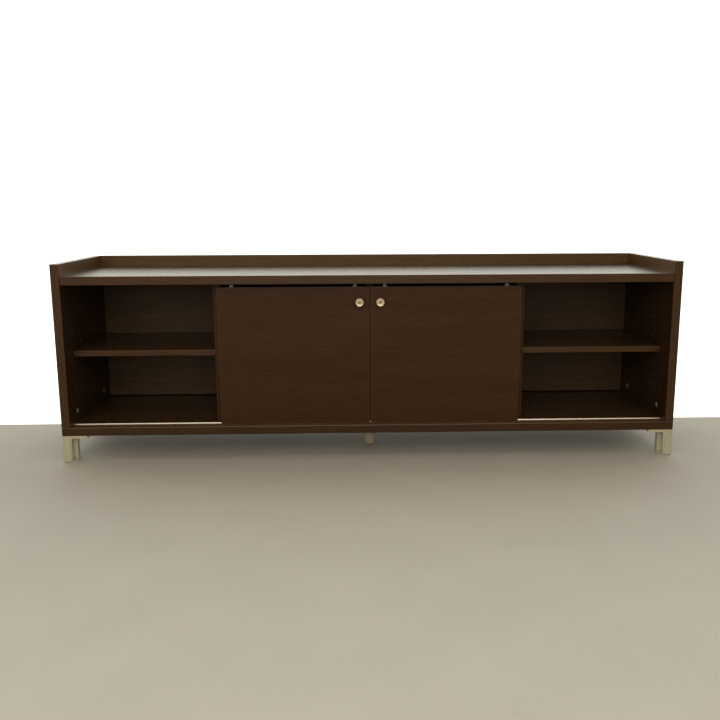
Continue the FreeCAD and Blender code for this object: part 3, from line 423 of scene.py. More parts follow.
def melamine(name, along, dark, light, shift, roughness=0.36, ior=1.33):
    """Printed melamine, grained along X or Z. The shift takes it from another part of the sheet."""
    finish, tree, shader, where = new_finish(name, IOR=ior)
    sheet = add_node(tree, "ShaderNodeMapping", {
        "Vector": where, "Location": shift, "Rotation": SHEET_TURNS[along]})

    def streaks(size_mm, detail):
        across, lengthwise = (per_metre(side) for side in size_mm)
        stretched = add_node(tree, "ShaderNodeMapping", {
            "Vector": sheet, "Scale": (lengthwise, across, across)})
        return add_node(tree, "ShaderNodeTexNoise", {
            "Vector": stretched, "Scale": 1.0, "Detail": detail, "Distortion": 0.3})

    fine = streaks(STREAK, 3.0)
    pores = add_node(tree, "ShaderNodeMapRange", {
        "Value": streaks(PORE, 1.0), "From Min": 0.30, "From Max": 0.42, "To Min": 1.0, "To Max": 0.0})
    both = add_node(tree, "ShaderNodeMix", {"Factor": 0.68, "A": streaks(FIGURE, 2.0), "B": fine})
    tone = add_node(tree, "ShaderNodeMapRange", {"Value": both, "From Min": 0.34, "From Max": 0.66})
    printed = add_node(tree, "ShaderNodeMix", {"Factor": tone, "A": srgb(dark), "B": srgb(light)},
                       data_type="RGBA")
    pore_ink = add_node(tree, "ShaderNodeMath", {0: pores, 1: 0.3}, operation="MULTIPLY")
    feed(shader, "Base Color", add_node(tree, "ShaderNodeMix", {
        "Factor": pore_ink, "A": printed, "B": srgb("#120A05")}, data_type="RGBA"))
    feed(shader, "Roughness", add_node(tree, "ShaderNodeMapRange", {
        "Value": fine, "To Min": roughness - 0.05, "To Max": roughness + 0.05}))
    feed(shader, "Normal", add_node(tree, "ShaderNodeBump", {
        "Height": pores, "Strength": 0.25, "Distance": 0.03 * MM}, invert=True))
    return finish


board_print = melamine("melamine_wood_print_lengthwise", "X", "#2A1E13", "#372718", (0, 0, 0),
                       roughness=0.27)
upright_print = melamine("melamine_wood_print_upright", "Z", "#23190F", "#342619", (0.3, 0.2, 0.1),
                         ior=1.25)
door_print = melamine("melamine_wood_print_doors", "X", "#2C1A0B", "#38240F", (1.7, 0.4, 0.6),
                      ior=1.22)
back_print = melamine("printed_hardboard", "X", "#2B1F14", "#40301F", (3.1, 0.7, 0.9),
                      roughness=0.5, ior=1.25)
# painted light: this print is lighter than the others, for the light on the gallery and on the strip
# before the rail
painted_light_print = melamine("melamine_wood_print_painted_light", "X", "#3C2B18", "#4F3B25", (2.3, 0.1, 0.5),
                         ior=1.25)
# painted light: the rim's print is lighter, for the light on the inner faces above the top
rim_painted_light_print = melamine("melamine_wood_print_rim_painted_light", "Z", "#3C2B18", "#4F3B25", (0.9, 0.3, 1.2),
                     ior=1.2)
print("six cuts of one printed sheet")

# %% [markdown]
# ### Edge band
# The cut edges are closed with an ABS band 2 mm thick, printed to match. Plastic takes the ink a
# little lighter and redder than paper does, and its print has streaks only, no pores. The band is
# trimmed with a rounded cutter, which leaves the small radius that catches the light. On the bottom
# board, whose rim is seen most, this radius is glossier than the face, and its lighter colour is a
# painted highlight. The band on the front of the bottom board and the bands in the bays are darker,
# as painted shade.

# %% Printed ABS edge band
LENGTHWISE, ACROSS = 9, 330     # streaks per metre, as each is 110 mm long and 3 mm wide
BAND_STRETCHES = {"X": (LENGTHWISE, ACROSS, ACROSS), "Y": (ACROSS, LENGTHWISE, ACROSS),
                  "Z": (ACROSS, ACROSS, LENGTHWISE)}


def edge_band(name, along, dark="#2C1B0A", light="#3B2610", ior=1.3, roughness=0.4):
    """A printed band whose streaks run along X, Y or Z."""
    finish, tree, shader, where = new_finish(name, IOR=ior, Roughness=roughness)
    stretched = add_node(tree, "ShaderNodeMapping", {"Vector": where, "Scale": BAND_STRETCHES[along]})
    streaks = add_node(tree, "ShaderNodeTexNoise", {"Vector": stretched, "Scale": 1.0, "Detail": 2.0})
    tone = add_node(tree, "ShaderNodeMapRange", {
        "Value": streaks, "From Min": 0.35, "From Max": 0.65})
    feed(shader, "Base Color", add_node(tree, "ShaderNodeMix", {
        "Factor": tone, "A": srgb(dark), "B": srgb(light)}, data_type="RGBA"))
    return finish


band_lengthwise = edge_band("printed_abs_edge_band_lengthwise", "X")
band_upright = edge_band("printed_abs_edge_band_upright", "Z")
# painted shade: the bottom board's front band is darker, for the shade low down
band_low_painted_shade = edge_band("printed_abs_edge_band_bottom_painted_shade", "X", "#271808", "#34220E")
# painted highlight: the bottom board's rounded rim is lighter than its face
band_rim_painted_highlight = edge_band("printed_abs_edge_band_rim_painted_highlight", "X", "#372A18", "#443421",
                     ior=1.42, roughness=0.32)
band_deep = edge_band("printed_abs_edge_band_front_to_back", "Y", ior=1.5, roughness=0.3)
# painted shade: the partitions' front bands are darker, for the shade beside and behind the doors
band_bay_painted_shade = edge_band("printed_abs_edge_band_in_the_bays_painted_shade", "Z", "#271A0D", "#342413",
                     ior=1.2, roughness=0.45)
print("six edge bands")

# %% [markdown]
# ### Bare particle board
# Inside a drilled hole the glued wood chips show: pale flakes about 3 mm long with darker gaps.
# Voronoi cells give the flakes.

# %% Bare particle board
bare_board, tree, shader, where = new_finish("bare_particle_board", Roughness=0.9)
flakes = add_node(tree, "ShaderNodeTexVoronoi", {"Vector": where, "Scale": per_metre(3)})
feed(shader, "Base Color", add_node(tree, "ShaderNodeMix", {
    "Factor": flakes, "A": srgb("#6B5238"), "B": srgb("#3E2E1E")}, data_type="RGBA"))
print("bare board:", bare_board.name)

# %% [markdown]
# ### Powder-coated metal
# The legs are cast metal with a warm grey-beige powder coat. The powder melts into a skin with the
# fine waviness of orange peel, about 1.2 mm from crest to crest, and a satin gloss. The colour
# drifts a little over 45 mm.

# %% Powder coat
powder_coat, tree, shader, where = new_finish("powder_coated_metal_beige", Roughness=0.42)
peel = add_node(tree, "ShaderNodeTexNoise", {"Vector": where, "Scale": per_metre(1.2), "Detail": 1.0})
drift = add_node(tree, "ShaderNodeTexNoise", {"Vector": where, "Scale": per_metre(45), "Detail": 3.0})
feed(shader, "Base Color", add_node(tree, "ShaderNodeMix", {
    "Factor": drift, "A": srgb("#908D79"), "B": srgb("#A09E8D")}, data_type="RGBA"))
feed(shader, "Normal", add_node(tree, "ShaderNodeBump", {
    "Height": peel, "Strength": 0.5, "Distance": 0.05 * MM}))
print("powder coat:", powder_coat.name)

# %% [markdown]
# ### Plated and bare metals
# Metals get their look from roughness. Zinc-plated steel is grey with a cloudy passivation layer,
# whose clouds are about 6 mm wide. The locks' strike plate is zinc-plated too, but passivated black.
# The cam housings are cast zinc, which is lighter and left matt. The rail is anodised aluminium,
# drawn through a die, so it has streaks along its length, 1 mm apart and about 250 mm long.

# %% Zinc, plated and cast
def plating(name, dark, light, glossy=0.28, matt=0.48):
    """Zinc whose clouds differ in colour and gloss."""
    finish, tree, shader, where = new_finish(name, Metallic=1.0)
    clouds = add_node(tree, "ShaderNodeTexNoise", {
        "Vector": where, "Scale": per_metre(6), "Detail": 3.0})
    feed(shader, "Base Color", add_node(tree, "ShaderNodeMix", {
        "Factor": clouds, "A": srgb(dark), "B": srgb(light)}, data_type="RGBA"))
    feed(shader, "Roughness", add_node(tree, "ShaderNodeMapRange", {
        "Value": clouds, "To Min": glossy, "To Max": matt}))
    return finish


zinc = plating("bright_zinc_plating", "#A9ABA8", "#C6C5BC")
black_zinc = plating("black_zinc_plating", "#1D1B1A", "#2A2826")
cast_zinc = plating("matt_die_cast_zinc", "#B2B2AE", "#C2C2BE", glossy=0.6, matt=0.8)
print("zinc finishes:", zinc.name, black_zinc.name, cast_zinc.name)

# %% Anodised rail
rail_metal, tree, shader, where = new_finish("anodised_aluminium", Metallic=1.0, Roughness=0.38)
drawn = add_node(tree, "ShaderNodeMapping", {
    "Vector": where, "Scale": (per_metre(250), per_metre(1), per_metre(1))})
die_lines = add_node(tree, "ShaderNodeTexNoise", {"Vector": drawn, "Scale": 1.0, "Detail": 2.0})
feed(shader, "Base Color", add_node(tree, "ShaderNodeMix", {
    "Factor": die_lines, "A": srgb("#F8F6F2"), "B": srgb("#FFFFFF")}, data_type="RGBA"))
feed(shader, "Normal", add_node(tree, "ShaderNodeBump", {
    "Height": die_lines, "Strength": 0.3, "Distance": 0.02 * MM}))
print("rail:", rail_metal.name)

# %% [markdown]
# The knobs are satin nickel with a champagne tint, brushed while they spin on the lathe, so their
# lines run in circles about the knob's own axis. A Mapping node moves the pattern onto that axis,
# and the distance from it drives a noise in one dimension. The lines are 0.4 mm apart. The key plug
# sits on the axis, so the middle of its box tells where the axis is.

# %% Champagne nickel, turned about a knob's axis
SIDES = (("left", -1), ("right", 1))


def middle_of(node):
    """The middle of the box that a CAD node fills."""
    low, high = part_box(node)
    return (low + high) / 2


def turned_nickel(name, axis_x, axis_z):
    """Nickel with fine rings about an axis along Y."""
    finish, tree, shader, where = new_finish(name, Metallic=1.0, Roughness=0.3)
    centred = add_node(tree, "ShaderNodeMapping", {
        "Vector": where, "Location": (-axis_x, 0, -axis_z)})
    flat = add_node(tree, "ShaderNodeMapping", {"Vector": centred, "Scale": (1, 0, 1)})
    reach = add_node(tree, "ShaderNodeVectorMath", {0: flat}, operation="LENGTH")
    rings = add_node(tree, "ShaderNodeTexNoise", {
        "W": reach, "Scale": per_metre(0.4), "Detail": 1.0}, noise_dimensions="1D")
    feed(shader, "Base Color", add_node(tree, "ShaderNodeMix", {
        "Factor": rings, "A": srgb("#AEA18F"), "B": srgb("#C2B7A9")}, data_type="RGBA"))
    feed(shader, "Normal", add_node(tree, "ShaderNodeBump", {
        "Height": rings, "Strength": 0.3, "Distance": 0.02 * MM}))
    return finish


LOCK_X, LOCK_Z = middle_of("right_lock_plug").xz
knob_metal = {side: turned_nickel(f"satin_nickel_champagne_{side}", sign * LOCK_X, LOCK_Z)
              for side, sign in SIDES}
# The key plug is darker than the knob, with a mottle about 2 mm across.
plug_metal, tree, shader, where = new_finish("darker_nickel_plated_brass", Metallic=1.0, Roughness=0.4)
plug_mottle = add_node(tree, "ShaderNodeTexNoise", {"Vector": where, "Scale": per_metre(2), "Detail": 2.0})
feed(shader, "Base Color", add_node(tree, "ShaderNodeMix", {
    "Factor": plug_mottle, "A": srgb("#6F624A"), "B": srgb("#9C8D6C")}, data_type="RGBA"))
print("locks at x =", round(LOCK_X, 4), "and z =", round(LOCK_Z, 4))

# %% [markdown]
# ### Plastics, rubber and plain wood
# Nylon wears well and needs no oil, so the rollers are left in its natural milky white. Light enters
# it a little, which a small subsurface share gives. The guide pins are grey nylon, and the feet are
# grey-beige nylon, moulded with a faint matt grain. Roller housings and top track are dark brown ABS.
# The buffers are smoked rubber, nearly black. The dowels are plain beech. Hardboard is pressed from
# cooked wood fibre. Its rebate is coloured nearly black and dull: painted shade, for the shadow gap at
# the back panel's foot.

# %% Plastics, rubber, beech and the hardboard's painted shade
def plain_stuff(name, dark, light, roughness, grain_mm, **shader_inputs):
    """A plain material with a fine mottle, and a skin that follows it."""
    finish, tree, shader, where = new_finish(name, Roughness=roughness, **shader_inputs)
    grain = add_node(tree, "ShaderNodeTexNoise", {
        "Vector": where, "Scale": per_metre(grain_mm), "Detail": 2.0})
    feed(shader, "Base Color", add_node(tree, "ShaderNodeMix", {
        "Factor": grain, "A": srgb(dark), "B": srgb(light)}, data_type="RGBA"))
    feed(shader, "Normal", add_node(tree, "ShaderNodeBump", {
        "Height": grain, "Strength": 0.4, "Distance": 0.03 * MM}))
    return finish


white_nylon = plain_stuff("natural_nylon", "#C9C8C2", "#DAD9D4", 0.42, 1.5, Subsurface_Weight=0.1,
                          Subsurface_Scale=1 * MM)
pin_nylon = plain_stuff("grey_nylon", "#716F6C", "#7C7A76", 0.45, 1.5)
dark_abs = plain_stuff("dark_brown_abs", "#241110", "#2F1816", 0.5, 1.0)
foot_nylon = plain_stuff("grey_beige_nylon", "#8D8673", "#9B9481", 0.5, 1.2)
buffer_rubber = plain_stuff("smoked_rubber", "#14100D", "#1C1613", 0.8, 2.0, IOR=1.2)
beech = plain_stuff("plain_beech", "#B48A5C", "#CBA676", 0.6, 3.0)
# painted shade: the hardboard rebate is nearly black
hardboard_painted_shade = plain_stuff("hardboard_painted_shade", "#0E0906", "#16100B", 0.9, 1.5, IOR=1.1)
print("seven plain materials")

# %% [markdown]
# ## Boards
# `banded_board` makes a board as the shop does: a slab as large as the CAD board, a line scored
# 2 mm behind each banded edge, and the rims of that edge rounded. The strip in front of the line
# is the band and gets the band's finish. All other edges lie against a neighbour and stay plain.
# The strip of the bottom board in front of the rail gets the paler print, which is painted light.

# %% A board with edge bands
BAND = 2 * MM
BOARD_SIDES = {"left": (0, -1), "right": (0, 1), "front": (1, -1), "back": (1, 1),
               "bottom": (2, -1), "top": (2, 1)}


def banded_board(node, finish, bands, rounding_mm=1.5):
    """A board in a node's place. bands gives the finish of each banded side."""
    low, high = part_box(node)
    board = block(f"banded_{node}", low, high)
    board.data.materials.append(finish)
    for side, band_finish in bands.items():
        axis, outward = BOARD_SIDES[side]
        edge_at = (high if outward > 0 else low)[axis]
        line_at = edge_at - outward * BAND
        score(board, axis, line_at)

        def on_rim(edge):
            return all(abs(board.data.vertices[v].co[axis] - edge_at) < HAIR for v in edge.vertices)

        pick(board, "EDGE", on_rim)
        bpy.ops.mesh.bevel(offset=rounding_mm * MM, segments=3, affect="EDGES", clamp_overlap=True)
        put_down()
        if board.data.materials.find(band_finish.name) < 0:
            board.data.materials.append(band_finish)
        for face in board.data.polygons:
            if (face.center[axis] - line_at) * outward > HAIR:
                face.material_index = board.data.materials.find(band_finish.name)
    return board


def stands_for(piece, node, body):
    """Let a finished piece ride on its body in place of its CAD node."""
    put_down()
    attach(piece, body)
    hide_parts(node)
    size = [round(d / MM, 1) for d in piece.dimensions]
    print(f"{piece.name}: {size} mm, {len(piece.data.polygons)} faces")


def refinish(board, finish, test):
    """Give a finish to the faces of a board that pass a test."""
    board.data.materials.append(finish)
    for face in board.data.polygons:
        if test(face):
            face.material_index = len(board.data.materials) - 1


# painted shade: the front band of the bottom board is the darker one
BOTTOM_BANDS = {"front": band_low_painted_shade, "left": band_deep, "right": band_deep}
bottom = banded_board("bottom_board", board_print, BOTTOM_BANDS, rounding_mm=1.9)
RAIL_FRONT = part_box("bottom_rail")[0].y
score(bottom, 1, RAIL_FRONT)
# painted light: the strip in front of the rail takes the lighter print
refinish(bottom, painted_light_print, lambda face: face.normal.z > 0.9 and face.center.y < RAIL_FRONT)
# painted highlight: the rounded rim along the top of the front takes the lighter band
refinish(bottom, band_rim_painted_highlight, lambda face: face.normal.y < -0.1 and face.normal.z > 0.1)
smooth(bottom)
stands_for(bottom, "bottom_board", "carcass")

# %% [markdown]
# The insides of the uprights have rows of 5 mm holes for shelf pins, 30 mm apart, and wide bores for
# the cam housings. The middle of a cam bore lies 34 mm from the joint that its housing pulls tight.
# All cutters of a board are joined into one tool, so that one cut drills every hole.

# %% Drilling the uprights
SHELF_LEVEL, PIN_STEP = middle_of("shelf_pins").z, 30 * MM
PIN_LEVELS = [SHELF_LEVEL + step * PIN_STEP for step in range(-4, 5)]
PIN_LINES = (-63 * MM, 161 * MM)
PIN_HOLE, CAM_BORE = (2.6 * MM, 10 * MM), (7.6 * MM, 12.6 * MM)     # radius and depth
CAM_FROM_JOINT = 34 * MM
FLOOR_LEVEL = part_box("bottom_board")[1].z
top_low, top_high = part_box("top_board")
LOW_CAM, HIGH_CAM = FLOOR_LEVEL + CAM_FROM_JOINT, top_low.z - CAM_FROM_JOINT
SIDE_CAM_LINES, PARTITION_CAM_LINES = (-128 * MM, 128 * MM), (-97 * MM, 147 * MM)


def drill(board, holes, axis):
    """Cut (spot, (radius, depth)) holes. A spot is on a face, and a hole goes both ways from it."""
    tool = joined("drill", [rod("drill", spot, radius, 2 * depth, axis)
                            for spot, (radius, depth) in holes])
    cut_away(board, tool, bare_board)


def pin_holes(x):
    """The holes for shelf pins in a face at x."""
    return [((x, y, z), PIN_HOLE) for y in PIN_LINES for z in PIN_LEVELS]


PANEL_BANDS = {"front": band_upright, "back": band_upright, "top": band_deep}
for side, sign in SIDES:
    panel = banded_board(f"{side}_side_panel", upright_print, PANEL_BANDS)
    inside = sign * top_high.x
    score(panel, 2, top_high.z)
    # painted light: the inner faces above the top take the lighter rim print
    refinish(panel, rim_painted_light_print,
             lambda face: face.normal.x * sign < -0.9 and face.center.z > top_high.z)
    cams = [((inside, y, LOW_CAM), CAM_BORE) for y in SIDE_CAM_LINES]
    drill(panel, pin_holes(inside) + cams, "X")
    smooth(panel)
    stands_for(panel, f"{side}_side_panel", "carcass")

for name, cams_on_right in (("left", True), ("centre", True), ("right", False)):
    low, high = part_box(f"{name}_partition")
    # painted shade: the partition's front band is the darker one
    upright = banded_board(f"{name}_partition", upright_print, {"front": band_bay_painted_shade})
    cam_face = high.x if cams_on_right else low.x
    cams = [((cam_face, y, z), CAM_BORE) for y in PARTITION_CAM_LINES for z in (LOW_CAM, HIGH_CAM)]
    drill(upright, pin_holes(low.x) + pin_holes(high.x) + cams, "X")
    smooth(upright)
    stands_for(upright, f"{name}_partition", "carcass")

# %% [markdown]
# The top board carries the door track in a groove along its underside, and two cam bores near each
# end. In front, it stops 1.4 mm short of the side panels, and this joint shows as a fine dark line.
# The gallery at the back and the two side panels stand above the top board as a rim.

# %% Top and gallery
PLAY = 0.1 * MM
JOINT_WIDTH, JOINT_DEPTH = 1.4 * MM, 6 * MM
top = banded_board("top_board", board_print, {"front": band_lengthwise, "back": band_lengthwise})
cam_places = (top_low.x + CAM_FROM_JOINT, top_high.x - CAM_FROM_JOINT)
drill(top, [((x, y, top_low.z), CAM_BORE) for x in cam_places for y in SIDE_CAM_LINES], "Z")
track_low, track_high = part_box("top_guide_track")
groove = block("groove", track_low - Vector((0, PLAY, SPILL)), track_high + Vector((0, PLAY, PLAY)))
cut_away(top, groove, bare_board)
joints = [block("joint", (x - JOINT_WIDTH, top_low.y - SPILL, top_low.z - SPILL),
                (x + JOINT_WIDTH, top_low.y + JOINT_DEPTH, top_high.z + SPILL))
          for x in (top_low.x, top_high.x)]
cut_away(top, joined("joints", joints), band_lengthwise)
smooth(top)
stands_for(top, "top_board", "carcass")

# painted light: the gallery takes the lighter print
gallery = banded_board("back_gallery", painted_light_print, {"top": band_lengthwise})
smooth(gallery)
stands_for(gallery, "back_gallery", "carcass")

# %% [markdown]
# The back panel is hardboard, printed on its front. Its lower edge is rebated to slide into the
# groove of the bottom board. The rebate is coloured nearly black, as painted shade, and shows as a
# thin dark line behind the shelves.

# %% Back panel
REBATE_DEPTH, REBATE_RISE = 3 * MM, 4 * MM      # the rise is the part above the bottom board
back_low, back_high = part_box("back_panel")
back = block("printed_back_panel", back_low, back_high)
back.data.materials.append(back_print)
rebate = block("rebate", back_low - Vector((SPILL, SPILL, SPILL)),
               (back_high.x + SPILL, back_low.y + REBATE_DEPTH, FLOOR_LEVEL + REBATE_RISE))
# painted shade: the rebate's walls take the nearly black finish
cut_away(back, rebate, hardboard_painted_shade)
soften(back, 0.3)
stands_for(back, "back_panel", "carcass")

# %% [markdown]
# Each shelf hides its four pins: a notch cut into its underside drops over each pin, so only the
# shelf's banded front shows.

# %% Shelves
NOTCH_REACH, NOTCH_HALF_WIDTH, NOTCH_RISE = 8 * MM, 3.6 * MM, 12.5 * MM
for bay in ("left_outer", "left_inner", "right_inner", "right_outer"):
    node = f"{bay}_shelf"
    shelf = banded_board(node, board_print, {"front": band_lengthwise})
    low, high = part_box(node)
    notches = [block("notch", (x - NOTCH_REACH, y - NOTCH_HALF_WIDTH, low.z - SPILL),
                     (x + NOTCH_REACH, y + NOTCH_HALF_WIDTH, low.z + NOTCH_RISE))
               for x in (low.x, high.x) for y in PIN_LINES]
    cut_away(shelf, joined("notches", notches), bare_board)
    smooth(shelf)
    stands_for(shelf, node, "carcass")

# %% [markdown]
# ## Doors
# A door is banded all round. Its lower edge is rebated behind a thin lip that hangs down in front of
# the rail and hides it. The band makes this lip 0.7 mm longer. From the rebate the mortises for the
# roller housings go up. The upper edge is drilled for the guide pins, a hole lets the lock's barrel
# through, and a shallow recess at the back sinks the nut.

# %% Door slabs
HOUSING_HALF_LENGTH, HOUSING_HALF_WIDTH = 29 * MM, 6.5 * MM
HOUSING_STEPS = ((18 * MM, 19 * MM), (HOUSING_HALF_LENGTH, 2 * MM))     # half length and depth
housings_low, housings_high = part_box("right_door_roller_housings")
ROLLER_X = (housings_high.x - HOUSING_HALF_LENGTH, housings_low.x + HOUSING_HALF_LENGTH)
LIP_THICKNESS, LIP_REACH = 2.5 * MM, 3 * MM
DOOR_ROUNDING_MM, BAND_EXTRA = 0.5, 0.7 * MM
GUIDE_BORE, BARREL_HOLE, NUT_RECESS = (6.05 * MM, 15 * MM), (8.05 * MM, 30 * MM), (13 * MM, 2.5 * MM)
DOOR_BANDS = {"left": band_upright, "right": band_upright, "top": band_lengthwise,
              "bottom": band_lengthwise}
for side, sign in SIDES:
    node = f"{side}_door"
    low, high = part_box(node)
    middle = middle_of(node).y
    door = banded_board(node, door_print, DOOR_BANDS, rounding_mm=DOOR_ROUNDING_MM)
    pick(door, "FACE", lambda face: face.center.z < low.z + DOOR_ROUNDING_MM * MM + PLAY)
    bpy.ops.transform.translate(value=(0, 0, -BAND_EXTRA))
    put_down()
    seat = low.z + LIP_REACH
    rebate = block("rebate", (low.x - SPILL, low.y + LIP_THICKNESS, low.z - SPILL),
                   (high.x + SPILL, high.y + SPILL, seat))
    cut_away(door, rebate, band_lengthwise)
    for x in ROLLER_X:
        for half_length, deep in HOUSING_STEPS:
            half_x, half_y = half_length + PLAY, HOUSING_HALF_WIDTH + PLAY
            mortise = block("mortise", (sign * x - half_x, middle - half_y, seat - SPILL),
                            (sign * x + half_x, middle + half_y, seat + deep + PLAY))
            cut_away(door, mortise, bare_board)
    drill(door, [((sign * x, middle, high.z), GUIDE_BORE) for x in ROLLER_X], "Z")
    drill(door, [((sign * LOCK_X, low.y, LOCK_Z), BARREL_HOLE)], "Y")
    drill(door, [((sign * LOCK_X, high.y, LOCK_Z), NUT_RECESS)], "Y")
    smooth(door)
    stands_for(door, node, node)

# %% [markdown]
# A guide pin is one nylon moulding: a ribbed plug that is pressed into the door, a flange that stops
# it, and a pin with a domed end that runs in the track. A cone stiffens the pin's root. It is turned
# once and copied. Only the flange and the cone show, as a grey dot in the dark gap above the door.

# %% Guide pins
GUIDE_RIBS = [(6, 0.0), (6, 4), (5.5, 4.5), (6, 5), (6, 9), (5.5, 9.5), (6, 10), (6, 15)]
GUIDE_PIN = GUIDE_RIBS + [(6.9, 15), (6.9, 16.6), (6.4, 17.6), (5.5, 20), (4.5, 23), (4.5, 31.5),
                          (3.9, 32.5), (2.4, 33)]
pin_foot = (0, middle_of("right_door_top_guides").y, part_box("right_door_top_guides")[0].z)
first_pin = turned("first_pin", GUIDE_PIN, pin_foot, sides=32)
first_pin.data.materials.append(pin_nylon)
for side, sign in SIDES:
    pins = joined(f"{side}_guide_pins", [another(first_pin, "pin", (sign * x, 0, 0))
                                         for x in ROLLER_X])
    smooth(pins)
    stands_for(pins, f"{side}_door_top_guides", f"{side}_door")
bpy.data.objects.remove(first_pin)

# %% [markdown]
# ## Lock knobs
# A knob is the handle and the lock in one. Its head has a flat bright rim, a dished face round the
# key plug, and a cone that narrows to a waist, so that fingertips can pull behind it. The barrel
# behind it goes through the door. The outline starts at the back of the bore, goes round the outside
# and comes back through the bore.

# %% Knobs
KNOB = [(5.05, -20), (8, -20), (8, 0), (10.5, 0), (10.5, 1), (9, 3), (9, 9), (12, 12), (12, 15.2),
        (11.2, 16), (10.4, 16), (9.6, 15.4), (6.4, 15.1), (6, 15.5), (5.05, 15.5), (5.05, -20)]
DOOR_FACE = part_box("right_door")[0].y
first_knob = turned("first_knob", KNOB, (0, DOOR_FACE, LOCK_Z), "Y", sides=64, bored=True)
for side, sign in SIDES:
    knob = another(first_knob, f"{side}_turned_knob", (sign * LOCK_X, 0, 0))
    knob.data.materials.append(knob_metal[side])
    soften(knob, 0.25)
    stands_for(knob, f"{side}_lock_knob", f"{side}_door")
bpy.data.objects.remove(first_knob)

# %% [markdown]
# ## Legs
# A corner leg is one casting. Its plate carries the corner of the bottom board. From the plate an
# angle drops flush with the two outer faces, and a square post behind it holds the levelling foot.
# It is modelled from the plate: lines are scored round it, the underside's cells are picked by their
# place, and the angle and the post are drawn down from them. So no parts have to be fused.

# %% The front left leg
PLATE_THICKNESS = 8 * MM
ANGLE_THICKNESS, ANGLE_WIDTH, ANGLE_GAP = 3 * MM, 22 * MM, 2.5 * MM     # a gap is above the floor
POST_SIZE, POST_GAP = 18 * MM, 7.5 * MM
POST_X, POST_Y = 17 * MM, 25 * MM               # from the leg's outer corner
leg_low, leg_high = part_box("front_left_leg")
PLATE_UNDER = leg_high.z - PLATE_THICKNESS
first_leg = block("first_leg", (leg_low.x, leg_low.y, PLATE_UNDER), leg_high)
for axis, post_at in ((0, POST_X), (1, POST_Y)):
    for cut in (ANGLE_THICKNESS, ANGLE_WIDTH, post_at, post_at + POST_SIZE):
        score(first_leg, axis, leg_low[axis] + cut)


def under_plate(face):
    """Whether a face is a cell of the plate's underside."""
    return face.normal.z < -0.5 and abs(face.center.z - PLATE_UNDER) < HAIR


def of_angle(face):
    """Whether the angle drops from this cell."""
    x, y = face.center.x - leg_low.x, face.center.y - leg_low.y
    return under_plate(face) and min(x, y) < ANGLE_THICKNESS and max(x, y) < ANGLE_WIDTH


def of_post(face):
    """Whether the post drops from this cell."""
    x, y = face.center.x - leg_low.x - POST_X, face.center.y - leg_low.y - POST_Y
    return under_plate(face) and 0 < x < POST_SIZE and 0 < y < POST_SIZE


for test, gap in ((of_angle, ANGLE_GAP), (of_post, POST_GAP)):
    pick(first_leg, "FACE", test)
    bpy.ops.mesh.extrude_region_move(TRANSFORM_OT_translate={"value": (0, 0, gap - PLATE_UNDER)})
put_down()
first_leg.data.materials.append(powder_coat)
lowest = min(v.co.z for v in first_leg.data.vertices)
print("the leg's lowest point is", round(lowest / MM, 2), "mm up")

# %% [markdown]
# The casting gets a 1 mm radius on all its edges. The post is drilled for the foot's stud, and the
# plate for three screws. The other three legs are mirror images of this one.

# %% Four legs
soften(first_leg, 1.0, segments=3)
outer_corner = Vector((leg_low.x, leg_low.y, 0))
post_foot = outer_corner + Vector((POST_X + POST_SIZE / 2, POST_Y + POST_SIZE / 2, POST_GAP))
SCREW_SPOTS = [(60 * MM, 60 * MM), (60 * MM, 13 * MM), (13 * MM, 60 * MM)]
SCREW_HOLE = {"radius": 2.1 * MM, "length": 20 * MM, "axis": "Z", "sides": 16}
STUD_BORE = {"radius": 4.05 * MM, "length": 60 * MM, "axis": "Z"}
screw_holes = [rod("hole", outer_corner + Vector((x, y, leg_high.z)), **SCREW_HOLE)
               for x, y in SCREW_SPOTS]
cut_away(first_leg, joined("drill", screw_holes + [rod("bore", post_foot, **STUD_BORE)]), zinc)
CORNERS = [(f"{end}_{side}", flip_x, flip_y) for end, flip_y in (("front", 1), ("back", -1))
           for side, flip_x in (("left", 1), ("right", -1))]
for corner, flip_x, flip_y in CORNERS:
    leg = another(first_leg, f"{corner}_cast_leg", mirror=(flip_x, flip_y, 1))
    smooth(leg)
    stands_for(leg, f"{corner}_leg", "carcass")
bpy.data.objects.remove(first_leg)

# %% [markdown]
# Each levelling foot is a nylon disc moulded round the head of a steel stud. The stud's thread shows
# when the foot is screwed out. A real thread winds up in a helix. At 1.25 mm pitch rings look the
# same, so the lathe tool cuts crest and root by turns.

# %% Levelling feet
ROOT_DEPTH, TIP_DEPTH = 0.6, 0.8        # as shares of the pitch
TIP_LENGTH, MARGIN = 0.2, 0.01          # millimetres


def thread(radius, pitch, low, high):
    """Steps of a threaded stretch in millimetres."""
    steps = []
    for turn in range(int((high - low) / pitch)):
        steps += [(radius - ROOT_DEPTH * pitch, low + turn * pitch),
                  (radius, low + (turn + 0.5) * pitch)]
    return steps


def levelling_foot(name, disc, place, stud_radius, pitch, stud_top):
    """A foot from its disc's steps and its stud. Faces of the stud are zinc-plated."""
    disc_top = disc[-1][1]
    stud = thread(stud_radius, pitch, disc_top, stud_top - TIP_LENGTH)
    stud.append((stud_radius - TIP_DEPTH * pitch, stud_top))
    foot = turned(name, disc + stud, place, sides=40)
    foot.data.materials.append(foot_nylon)
    foot.data.materials.append(zinc)
    for face in foot.data.polygons:
        out = math.hypot(face.center.x - place[0], face.center.y - place[1])
        above = face.center.z > (disc_top + MARGIN) * MM
        face.material_index = 1 if above and out < (stud_radius + MARGIN) * MM else 0
    smooth(foot)
    return foot


CORNER_DISC = [(10.2, 0), (11, 0.8), (11, 6), (10.7, 6.7), (10, 7)]
for corner, flip_x, flip_y in CORNERS:
    place = (flip_x * post_foot.x, flip_y * post_foot.y, 0)
    foot = levelling_foot(f"{corner}_threaded_foot", CORNER_DISC, place,
                          stud_radius=4, pitch=1.25, stud_top=31)
    stands_for(foot, f"{corner}_foot", f"{corner}_foot")

# %% [markdown]
# The centre leg stops the long bottom board from sagging. It is a steel tube welded into a round
# flange, with a threaded plug in its lower end for a wide foot. The weld is a small fillet under the
# flange.

